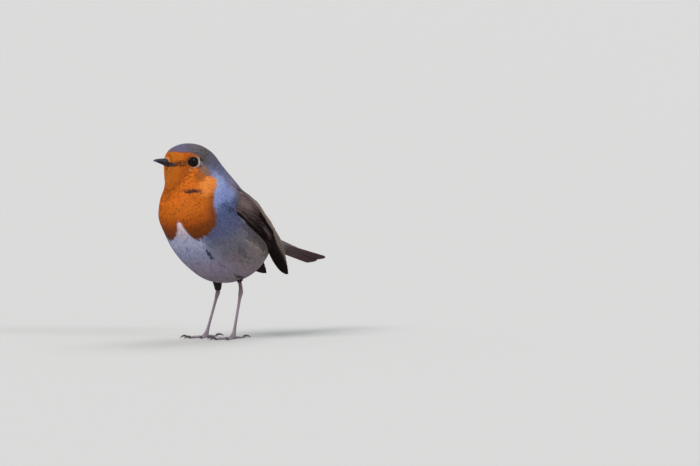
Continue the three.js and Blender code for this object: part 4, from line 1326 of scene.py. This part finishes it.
# Each feather is darker towards its root: partly its grey down, partly painted shade between the feathers.
light = 0.57 + tipwards.rising(0.0, 0.6) * 0.1 + (by_feather - 0.5) * 0.12 + (by_strand - 0.5) * 0.14
colour = colour.dimmed(light + fine * 0.07)
colour.into(sockets["Base Color"])
(0.72 + fine * 0.2).into(sockets["Roughness"])
sockets["Specular IOR Level"].default_value = 0.12
skin.data.materials.append(plumage)

# ---- Coat --------------------------------------------------------------------------------------------------
# Contour feathers grow in overlapping rows over the skin. Each is a small tuft of barbs in a few tapering
# locks that spread from one root, lie back along the body and end at the coat's outline.
LOCK_SIDES = 3  # a lock is a flat triangle across: two edges and a low ridge
BAKE_PATCH = 0.003  # across a tuft's own patch of the bake map
HEAD_END, OVERLAP = 5.0, 0.4  # the rib where the head's small feathers end, and how far the body's go under
LAST_ROOT = COAT_END - 0.9  # the rib where the last feathers grow, whose tips end the coat


def wrapped(angle):
    """The same angle, from -pi to pi."""
    return (angle + math.pi) % (2 * math.pi) - math.pi


def scattered(form, gap, seed, wanted):
    """Places all over a form, about gap(u, phi) millimetres apart, where wanted(u, phi, points) is true."""
    random = np.random.default_rng(seed)
    u_middles = (np.arange(form.table.shape[0] - 1) + 0.5) / form.steps
    phi_middles = (np.arange(form.round_steps) + 0.5) / form.round_steps * 2 * math.pi - math.pi
    cell_u, cell_phi = np.meshgrid(u_middles, phi_middles, indexing="ij")
    weight = form.area[:-1, :-1] / gap(cell_u, cell_phi) ** 2
    tries = int(weight.sum() * 5)
    chosen = random.choice(weight.size, tries, p=(weight / weight.sum()).ravel())
    u = cell_u.ravel()[chosen] + (random.random(tries) - 0.5) / form.steps
    phi = cell_phi.ravel()[chosen] + (random.random(tries) - 0.5) * 2 * math.pi / form.round_steps
    points = form.look_up(u, phi)[0]
    kept = wanted(u, phi, points)
    u, phi, points = u[kept], phi[kept], points[kept]
    gaps = gap(u, phi)
    keys = np.floor(points / gaps.max()).astype(int).tolist()
    cells, taken = {}, []
    beside = [(i, j, k) for i in (-1, 0, 1) for j in (-1, 0, 1) for k in (-1, 0, 1)]
    for index, (point, (a, b, c), least) in enumerate(zip(points.tolist(), keys, (gaps**2).tolist())):
        x, y, z = point
        near = (other for i, j, k in beside for other in cells.get((a + i, b + j, c + k), ()))
        if all((px - x) ** 2 + (py - y) ** 2 + (pz - z) ** 2 >= least for px, py, pz in near):
            cells.setdefault((a, b, c), []).append(point)
            taken.append(index)
    return u[taken], phi[taken]


def tufts(form, u, phi, look, seed):
    """The locks of one tuft at each place. look(u, phi) gives the measures named below for each tuft."""
    random = np.random.default_rng(seed)
    count = len(u)
    size = look(u, phi)
    locks = size.pop("locks")
    size = {measure: np.broadcast_to(value, count) for measure, value in size.items()}
    by_feather = random.random(count)
    heading = (random.random(count) - 0.5) * 2 * size["stray"]
    stretch = 0.85 + 0.3 * random.random(count)
    spread = np.linspace(-1, 1, locks)
    lock_heading = heading[:, None] + spread * size["fan"][:, None]
    lock_heading = lock_heading + (random.random((count, locks)) - 0.5) * size["fan"][:, None] * 0.5
    shorter = 1 - 0.22 * spread**2 - 0.2 * random.random((count, locks))
    lock_length = size["length"][:, None] * stretch[:, None] * shorter
    lock_width = np.broadcast_to(size["width"][:, None], lock_length.shape)
    lock_rise = size["rise"][:, None] * (0.965 + 0.06 * random.random((count, locks)))
    return {
        "u": np.repeat(u, locks),
        "phi": np.repeat(phi, locks),
        "side": np.tile(spread, count) * np.repeat(size["width"], locks) * 0.3,
        "heading": lock_heading.ravel(),
        "length": lock_length.ravel(),
        "width": lock_width.ravel(),
        "rise": lock_rise.ravel(),
        "feather": np.repeat(by_feather, locks),
        "strand": random.random(count * locks),
    }


WING_TUCK = 0.3  # how far over a wing's face the feathers that cover its edges lie
WING_CLEARED = 1.2  # how far under it the others go
WING_NEAR = 9  # from its face: feathers further off than this don't meet it
LOCK_RIDGE = 0.28  # a lock's ridge, as a share of its half-width


def over_wings(path, heights):
    """Feathers that reach a folded wing rise over its front and shoulder, and go under its other edges."""
    flat = path.reshape(-1, 3)
    t, v, beyond, out, outwards = from_wing(flat)
    height = np.broadcast_to(heights[None, :], path.shape[:2]).ravel()
    above = under_body(t, v)
    lifted = np.maximum(WING_TUCK + 0.5 * height - out, 0) * np.minimum(1, height * 2)
    lifted = lifted * (1 - eased(0.0, 2.2, beyond))
    pressed = np.maximum(out + WING_CLEARED, 0) * (1 - eased(0.2, 1.4, beyond))
    moved = (np.abs(out) < WING_NEAR) * (above * lifted - (1 - above) * pressed)
    return (flat + outwards * moved[:, None]).reshape(path.shape)


def clear_of_wings(u, phi, points):
    """Where body feathers grow: anywhere but under a folded wing, with its front and top edges overlapped."""
    t, v, beyond, out, _ = from_wing(points)
    return (beyond > 0.5) | (np.abs(out) > WING_NEAR) | (under_body(t, v) > 0.75)


def lock_shape(form, locks, shares, heights, widths):
    """Each lock's path over the form, and its rings (lock, station, corner, xyz). Adds where it is seen."""
    u, phi = locks["u"].copy(), locks["phi"].copy()
    path, outwards = [], []
    for station, share in enumerate(shares):
        if station == len(shares) - 2:
            locks["seen_u"], locks["seen_phi"] = u, phi
        outer, normal, step_u, step_phi, depth = form.look_up(u, phi)
        height = heights[station] * locks["rise"]
        path.append(outer - normal * (depth * (1 - height))[:, None])
        outwards.append(normal)
        if station + 1 < len(shares):
            step = locks["length"] * (shares[station + 1] - share)
            heading = locks["heading"] * (1 - 0.5 * share)
            u = u + step * np.cos(heading) / np.maximum(step_u, 1.0)
            phi = phi + step * np.sin(heading) / np.maximum(step_phi, 1.5)
    path, outwards = np.stack(path, 1), np.stack(outwards, 1)
    path = over_wings(path, np.asarray(heights))
    return path, rings_along(path, outwards, locks, widths)


def rings_along(path, outwards, locks, widths):
    """The three corners of each lock at each station of its path, which moves to the lock's own side."""
    ahead = np.gradient(path, axis=1)
    ahead /= np.linalg.norm(ahead, axis=-1, keepdims=True) + 1e-9
    sideways = np.cross(ahead, outwards)
    sideways /= np.linalg.norm(sideways, axis=-1, keepdims=True) + 1e-9
    path += sideways * locks["side"][:, None, None]
    half = locks["width"][:, None, None] * np.asarray(widths)[None, :, None] / 2
    corners = [path - sideways * half, path + outwards * half * LOCK_RIDGE, path + sideways * half]
    return np.stack(corners, axis=2)


def single_locks(phi, u, seen_u, seen_phi, width, random):
    """What coat_piece and the shading want to know of locks whose path is laid one by one."""
    count = len(phi)
    return {
        "u": np.full(count, u),
        "phi": phi,
        "seen_u": np.full(count, seen_u),
        "seen_phi": np.broadcast_to(seen_phi, count),
        "side": np.zeros(count),
        "width": np.full(count, width),
        "feather": random.random(count),
        "strand": random.random(count),
    }


LONG_LOCK = (0, 0.34, 0.74, 1), (0, 0.62, 0.94, 1.0), (0.5, 1, 0.95, 0)  # shares, heights and widths
SHORT_LOCK = (0, 0.5, 1), (0.1, 0.8, 1.0), (0.7, 1, 0)


def coat_piece(name, form, locks, kind=LONG_LOCK, shape=None):
    """One joined mesh of locks, each closed: a cap at its root, walls, and a point at its tip."""
    shares = kind[0]
    path, rings = shape if shape is not None else lock_shape(form, locks, *kind)
    count, stations = rings.shape[0], len(shares) - 1
    per_lock = stations * LOCK_SIDES + 1
    points = np.concatenate([rings[:, :-1].reshape(count, -1, 3), path[:, -1:]], axis=1)
    faces = [(0, 2, 1)]
    for station in range(stations - 1):
        for side in range(LOCK_SIDES):
            a, b = station * LOCK_SIDES + side, station * LOCK_SIDES + (side + 1) % LOCK_SIDES
            faces += [(a, b, b + LOCK_SIDES), (a, b + LOCK_SIDES, a + LOCK_SIDES)]
    end = (stations - 1) * LOCK_SIDES
    faces += [(end + side, end + (side + 1) % LOCK_SIDES, per_lock - 1) for side in range(LOCK_SIDES)]
    triangles = (np.arange(count)[:, None, None] * per_lock + np.array(faces)[None]).reshape(-1, 3)
    made = piece_of_triangles(name, points.reshape(-1, 3), triangles)
    ends = np.empty(2 * len(made.data.edges), dtype=np.int32)
    made.data.edges.foreach_get("vertices", ends)
    corner = ends.reshape(-1, 2) % per_lock
    on_ridge = (corner % LOCK_SIDES == 1) & (corner < stations * LOCK_SIDES)
    sharp = made.data.attributes.new("sharp_edge", "BOOLEAN", "EDGE")
    sharp.data.foreach_set("value", ~on_ridge.any(axis=1))
    share_of_point = np.append(np.repeat(shares[:-1], LOCK_SIDES), 1.0)
    side_of_point = np.append(np.tile([-0.5, 0.0, 0.5], stations), 0.0)
    seen = locks["seen_u"] / COAT_END, wrapped(locks["seen_phi"]) / math.pi
    tint = locks["feather"], locks["strand"], locks.get("pale", np.zeros(count))
    seen, tint = ([np.repeat(values, per_lock) for values in group] for group in (seen, tint))
    set_vectors(made.data, "lie", np.stack([*seen, np.tile(share_of_point, count)], axis=-1))
    set_vectors(made.data, "tint", np.stack(tint, axis=-1))
    row = np.clip(locks["u"] / form.last, 0, 1) * (len(form.unrolled) - 1)
    root = np.stack([
        wrapped(locks["phi"]) / (2 * math.pi) + 0.5,
        np.interp(row, np.arange(len(form.unrolled)), form.unrolled),
    ], axis=-1)
    patch = BAKE_PATCH * np.stack([side_of_point, share_of_point - 0.5], axis=-1)
    set_bake_map(made.data, (root[:, None] * (1 - BAKE_PATCH) + patch[None]).reshape(-1, 2))
    made.data.materials.append(plumage)
    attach(made, "root")
    return made


def head_gap(u, phi):
    return 0.42 + 0.5 * eased(1, 5, u)


def body_gap(u, phi):
    return 0.85 + 0.3 * eased(5.5, 9, u)


def head_look(u, phi):
    """Small close feathers, shortest round the bill."""
    return {
        "locks": 3,
        "length": 1.1 + 2.0 * eased(0.8, 5, u),
        "width": 0.28 + 0.2 * eased(1, 5, u),
        "fan": math.radians(13),
        "stray": math.radians(10),
        "rise": 0.95,
    }


def body_look(u, phi):
    """Longer and wider feathers, loosest on the belly."""
    belly = eased(0.5, 0.8, np.abs(wrapped(phi)) / math.pi) * eased(7, 9, u)
    return {
        "locks": 8,
        "length": 3.4 + 2.6 * eased(5, 8, u) + 1.2 * belly,
        "width": 0.42 + 0.14 * eased(5, 8, u) - 0.1 * belly,
        "fan": np.radians(10 + belly),
        "stray": np.radians(4 + 6 * belly),
        "rise": 0.95 + 0.05 * belly,
    }


def clear_of_eyes(u, phi, points):
    """Where the face's feathers grow: not on the eyes and their lids."""
    kept = np.ones(len(points), bool)
    for eye in eyes.values():
        aside, out, _ = from_eye(points, eye)
        kept &= (aside > EYE_OPENING + 0.25) | (out < 0)
    return kept


def clear_of_gape(u, phi):
    """Where they grow round the horny corners of the mouth."""
    open_there = GAPE_OPEN * (1 - u / GAPE_END).clip(0) ** GAPE_TAPER
    return np.abs(np.degrees(np.abs(wrapped(phi))) - GAPE_MIDDLE) > open_there - 1


def head_wanted(u, phi, points):
    return (u < HEAD_END) & clear_of_eyes(u, phi, points) & clear_of_gape(u, phi)


def body_wanted(u, phi, points):
    return (u >= HEAD_END - OVERLAP) & (u < LAST_ROOT) & clear_of_wings(u, phi, points)


def keep_locks(locks, kept):
    """Only the kept ones of the locks."""
    return {name: values[kept] for name, values in locks.items()}


head_places = scattered(body, head_gap, 11, head_wanted)
head_locks = tufts(body, *head_places, head_look, 21)
head_path, _ = lock_shape(body, head_locks, *SHORT_LOCK)
over_eye = np.zeros(len(head_path), bool)
for eye in eyes.values():
    for station in range(head_path.shape[1]):
        aside, out, _ = from_eye(head_path[:, station], eye)
        over_eye |= (aside < EYE_OPENING + 0.1) & (out > 0)
head_locks = keep_locks(head_locks, ~over_eye)
body_places = scattered(body, body_gap, 12, body_wanted)
body_locks = tufts(body, *body_places, body_look, 22)
body_path, _ = lock_shape(body, body_locks, *LONG_LOCK)
kept_share = np.ones(len(body_path))
t, v, beyond, *_ = from_wing(body_path[:, 0])
lies_over = (under_body(t, v) > 0.3) & (beyond < 4)
for station in (3, 2, 1):  # a lock that lies over a wing's edge ends soon after it
    t, v, beyond, out, _ = from_wing(body_path[:, station])
    over_wing = (beyond < 0.6) & (np.abs(out) < WING_NEAR) & (under_body(t, v) < 0.35)
    kept_share[over_wing] = LONG_LOCK[0][station - 1] + 0.04
kept_share = np.where(lies_over, np.maximum(kept_share, 0.25), 1)
body_locks["length"] = body_locks["length"] * kept_share
body_locks["rise"] = body_locks["rise"] * (0.4 + 0.6 * kept_share)

MOST_TRIANGLES = 190000  # in one piece


def coat_in_parts(name, locks, kind):
    """Pieces of the body's coat, split by how far back along it their feathers grow."""
    triangles = 1 + LOCK_SIDES * (2 * len(kind[0]) - 3)
    order = np.argsort(locks["u"], kind="stable")
    parts = math.ceil(len(order) * triangles / MOST_TRIANGLES)
    for number, members in enumerate(np.array_split(order, parts), 1):
        made = coat_piece(f"{name}_{number}", body, keep_locks(locks, members), kind)


coat_in_parts("face_feathers", head_locks, SHORT_LOCK)

# The forehead's first feathers grow on the root of the bill's ridge, in a wedge that points to its tip.
fringe_random = np.random.default_rng(61)
FRINGE, FRINGE_ROOT = 170, 10.6  # how many, and how far ahead of the eyes they start
turn = np.radians(78) * (2 * fringe_random.random(FRINGE) - 1)
tip = 0.56 + (0.13 - 0.09 * np.abs(turn)) * fringe_random.random(FRINGE) ** 0.6  # its share of the bill
section = along_curve(BILL_SECTIONS, np.linspace(0, 1, 200))
ridge, cutting, half = (np.interp(tip, section[:, 0], section[:, k])[:, None] for k in (1, 2, 4))
share, tip = np.array(SHORT_LOCK[0]), tip[:, None]
aside, above = np.sin(turn)[:, None], np.cos(turn)[:, None]
back = -BILL_LENGTH * tip * (1 - share) - FRINGE_ROOT * share
swell = 1.0 + share * (0.12 + 0.35 * (tip - 0.5))
height = cutting + (ridge - cutting) * above * swell + share * 0.45
path = in_head(half * aside * swell + share * 0.4 * aside, back, height)
locks = single_locks(turn, 0.1, 0.5, turn, 0.3, fringe_random)
locks["pale"] = 0.25 * fringe_random.random(FRINGE)
outwards = path - in_head(0, back, cutting - 0.5)
outwards /= np.linalg.norm(outwards, axis=-1, keepdims=True)
shape = path, rings_along(path, outwards, locks, SHORT_LOCK[2])
made = coat_piece("bill_root_feathers", body, locks, SHORT_LOCK, shape)

coat_in_parts("body_feathers", body_locks, LONG_LOCK)

body_samples = body.table[::2, :-1:2, 0:6].reshape(-1, 6)
body_tree = tree_of(body_samples[:, :3])


def below_belly(u, phi, points):
    """Where a thigh's feathers grow: not inside the body, and down to a ragged end above the bare leg."""
    nearest = body_samples[nearest_in(body_tree, points)]
    end = THIGH_LAST * (0.84 + 0.08 * np.sin(3 * phi) + 0.06 * np.sin(7 * phi + 1))
    return (((points - nearest[:, :3]) * nearest[:, 3:]).sum(axis=-1) > -1.5) & (u < end)


def thigh_gap(u, phi):
    return 0.75 - 0.25 * u / THIGH_LAST


def thigh_look(u, phi):
    share = u / THIGH_LAST
    return {
        "locks": 5,
        "length": 3.2 - 1.0 * share,
        "width": 0.34 - 0.08 * share,
        "fan": math.radians(12),
        "stray": math.radians(14),
        "rise": 1.15 - 0.4 * share,
    }


for seed, (name, thigh) in enumerate(thighs.items(), 50):
    places = scattered(thigh, thigh_gap, seed, below_belly)
    locks = tufts(thigh, *places, thigh_look, seed)
    # Minus one paints these feathers dark brown, as painted shade under the belly.
    locks["pale"] = np.full(len(locks["u"]), -1.0)
    made = coat_piece(f"thigh_feathers_{name}", thigh, locks)

# The eye ring: three close rows of tiny pale feathers that point away from the lids.
RING_ROWS, RING_FEATHERS = (2.95, 3.12, 3.3), 56  # the rows' radii, and how many pairs of feathers in each
ring_random = np.random.default_rng(60)
for name, eye in eyes.items():
    angle = np.concatenate([whole_turn(RING_FEATHERS) + 0.05 * row for row in range(len(RING_ROWS))])
    angle = np.repeat(angle, 2) + (ring_random.random(2 * len(angle)) - 0.5) * 0.16
    start = np.repeat(RING_ROWS, 2 * RING_FEATHERS)
    behind = 0.5 - 0.5 * np.sin(angle)
    length = 0.34 + 0.62 * behind**3 + 0.18 * ring_random.random(len(angle))
    share = np.array(SHORT_LOCK[0])
    aside = start[:, None] + length[:, None] * share
    sweep = angle[:, None] - 0.12 * share * np.sin(angle + 0.4)[:, None]
    path = on_lids(eye, aside, 0.04 + 0.40 * np.array((0, 0.8, 1.0)) - 0.12 * (aside - 3.0), sweep)
    locks = single_locks(angle, 2.6, 2.6, 1.3, 0.2, ring_random)
    varied = 0.85 + 0.15 * ring_random.random(len(angle))
    locks["pale"] = (0.10 + 0.86 * behind**2.6) * (1 - 0.35 * np.cos(angle).clip(0)) * varied
    outwards = np.broadcast_to(eye["outwards"], path.shape)
    shape = path, rings_along(path, outwards, locks, SHORT_LOCK[2])
    made = coat_piece(f"eye_ring_{name}", body, locks, SHORT_LOCK, shape)
